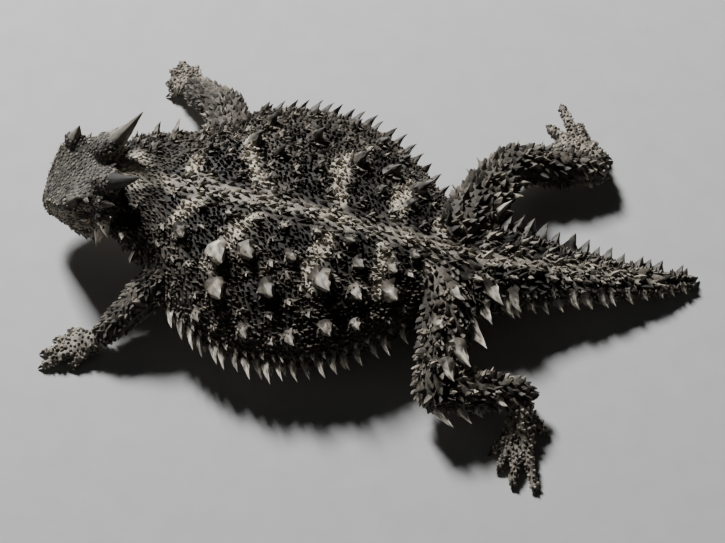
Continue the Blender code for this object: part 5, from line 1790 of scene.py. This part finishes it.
def dress(name, group, size, strength, shine, bump, distance, stretched=False):
    """A material of the animal's own colours with fine variation and relief."""
    material, tree, shader = new_material(name)
    tone = add_node(tree, "ShaderNodeAttribute", attribute_name="tone")
    amounts = {"Size": size, "Strength": strength, "Shine": shine}
    weather = add_node(tree, "ShaderNodeGroup", amounts, node_tree=group)
    if stretched:
        spread = add_node(tree, "ShaderNodeUVMap", uv_map="grain")
        stretch = add_node(tree, "ShaderNodeMapping", {"Scale": GRAIN_STRETCH})
        join(tree, (spread, "UV", stretch, "Vector"), (stretch, "Vector", weather, "Place"))
    else:
        join(tree, (add_node(tree, "ShaderNodeTexCoord"), "Object", weather, "Place"))
    relief = add_node(tree, "ShaderNodeBump", {"Strength": bump, "Distance": distance})
    join(tree, (tone, "Color", weather, "Colour"), (weather, "Colour", shader, "Base Color"),
         (weather, "Roughness", shader, "Roughness"), (weather, "Height", relief, "Height"),
         (relief, "Normal", shader, "Normal"))
    set_inputs(shader, {"Specular IOR Level": 0.3})
    return material


def eye_material():
    """A dark round pupil in a brown iris with fine rays, wet all over."""
    material, tree, shader = new_material("eye")
    tone = add_node(tree, "ShaderNodeAttribute", attribute_name="tone")
    split = add_node(tree, "ShaderNodeSeparateColor")
    iris = add_node(tree, "ShaderNodeValToRGB")
    while len(iris.color_ramp.elements) < len(IRIS):
        iris.color_ramp.elements.new(0.5)
    for element, (place, colour) in zip(iris.color_ramp.elements, IRIS):
        element.position = place
        element.color = (*colour, 1.0)
    rays = add_node(tree, "ShaderNodeTexNoise", {"Scale": 46.0}, noise_dimensions="1D")
    mix = add_node(tree, "ShaderNodeMix", {"Factor": 0.7}, data_type="RGBA", blend_type="OVERLAY")
    join(tree, (tone, "Color", split, "Color"), (split, "Red", iris, "Fac"), (split, "Green", rays, "W"),
         (iris, "Color", mix, "A"), (rays, "Fac", mix, "B"), (mix, "Result", shader, "Base Color"))
    set_inputs(shader, {"Roughness": 0.08, "Coat Weight": 1.0, "Coat Roughness": 0.03})
    return material


def floor_material():
    """A plain pale floor with a faint tooth."""
    material, tree, shader = new_material("floor")
    where = add_node(tree, "ShaderNodeTexCoord")
    grain = add_node(tree, "ShaderNodeTexNoise", {"Scale": 160.0})
    tooth = add_node(tree, "ShaderNodeMapRange", {"To Min": FLOOR_SHADES[0], "To Max": FLOOR_SHADES[1]})
    join(tree, (where, "Object", grain, "Vector"), (grain, "Fac", tooth, "Value"),
         (tooth, "Result", shader, "Base Color"))
    set_inputs(shader, {"Roughness": 0.9, "Specular IOR Level": 0.2})
    return material


# Stage, light and camera

def build_stage():
    """The pale floor."""
    mesh = bmesh.new()
    bmesh.ops.create_grid(mesh, x_segments=1, y_segments=1, size=FLOOR_SIZE)
    floor = link_mesh("floor", mesh)
    floor.data.materials.append(floor_material())


def build_light():
    """A key light from before the right shoulder, two weak fills from the left and a faint surround."""
    for name, direction, distance, size, watts in LIGHTS:
        lamp = bpy.data.lights.new(name, "AREA")
        lamp.size = size
        lamp.energy = watts
        holder = place_object(name, lamp)
        toward = Vector(direction).normalized()
        holder.location = toward * distance
        holder.rotation_euler = toward.to_track_quat("Z", "Y").to_euler()
    world = bpy.data.worlds.new("surround")
    bpy.context.scene.world = world
    world.use_nodes = True
    set_inputs(world.node_tree.nodes["Background"], {"Color": (1.0, 1.0, 1.0, 1.0), "Strength": SURROUND})


def build_camera(shift):
    """A long lens above the animal's left side, as in the photograph."""
    azimuth, elevation = math.radians(AZIMUTH), math.radians(ELEVATION)
    back = Vector((math.sin(azimuth) * math.cos(elevation), -math.cos(azimuth) * math.cos(elevation),
                   math.sin(elevation)))
    lens = bpy.data.cameras.new("camera")
    lens.sensor_width = SENSOR
    lens.lens = PIXELS_EACH_MM * CAMERA_DISTANCE / MM / PICTURE_WIDTH * SENSOR
    lens.clip_start, lens.clip_end = 0.01, 10.0
    camera = place_object("camera", lens)
    camera.location = shift + Vector(AIM) * MM + back * CAMERA_DISTANCE
    camera.rotation_euler = back.to_track_quat("Z", "Y").to_euler()
    bpy.context.scene.camera = camera


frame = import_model()

shift = frame_shift()
build_camera(shift)
build_light()
build_stage()

weathering = weather_group()
skin_finish = dress("skin", weathering, size=1400.0, strength=0.75, shine=0.5, bump=0.5, distance=0.0003)
scale_finish = dress("scale", weathering, size=2600.0, strength=0.7, shine=0.5, bump=0.35, distance=0.00012)
spine_finish = dress("spine", weathering, size=1.0, strength=0.85, shine=0.42, bump=0.5, distance=0.00012,
                     stretched=True)
horn_finish = dress("horn", weathering, size=1.0, strength=0.9, shine=0.5, bump=0.6, distance=0.0002,
                    stretched=True)
claw_finish = dress("claw", weathering, size=1800.0, strength=0.5, shine=0.15, bump=0.2, distance=0.0001)

forms = flesh_forms()
guide = Guide(forms)
skin, skin_places, skin_regions = build_skin(forms, guide)
skin_tree = BVHTree.FromPolygons([tuple(place) for place in skin_places],
                                 [tuple(face.vertices) for face in skin.data.polygons])
room = build_spines(skin_tree, guide, shift, spine_finish, scale_finish)
room += [(on_head(EYE_PLACE, side), EYE_RADIUS + LID_DEPTH) for side, _ in SIDE_WORDS]
build_coat(skin, guide, skin_regions, room, shift, scale_finish)
flesh = ["torso", "neck", "tail_base", "tail_tip", "head", "jaw"]
flesh += [limb + "_" + part for limb, parts in LIMBS.items() for part in parts]
finish_piece(skin, shift, skin_finish, "torso", *flesh)
build_horns(shift, horn_finish)
wet_eye = eye_material()
for side, word in SIDE_WORDS:
    eye = EyePlace(side)
    build_eyeball(eye, word, shift, wet_eye)
    build_lids(eye, word, shift, skin_finish)
    build_lid_scales(eye, word, shift, scale_finish, guide)
build_claws(shift, claw_finish)
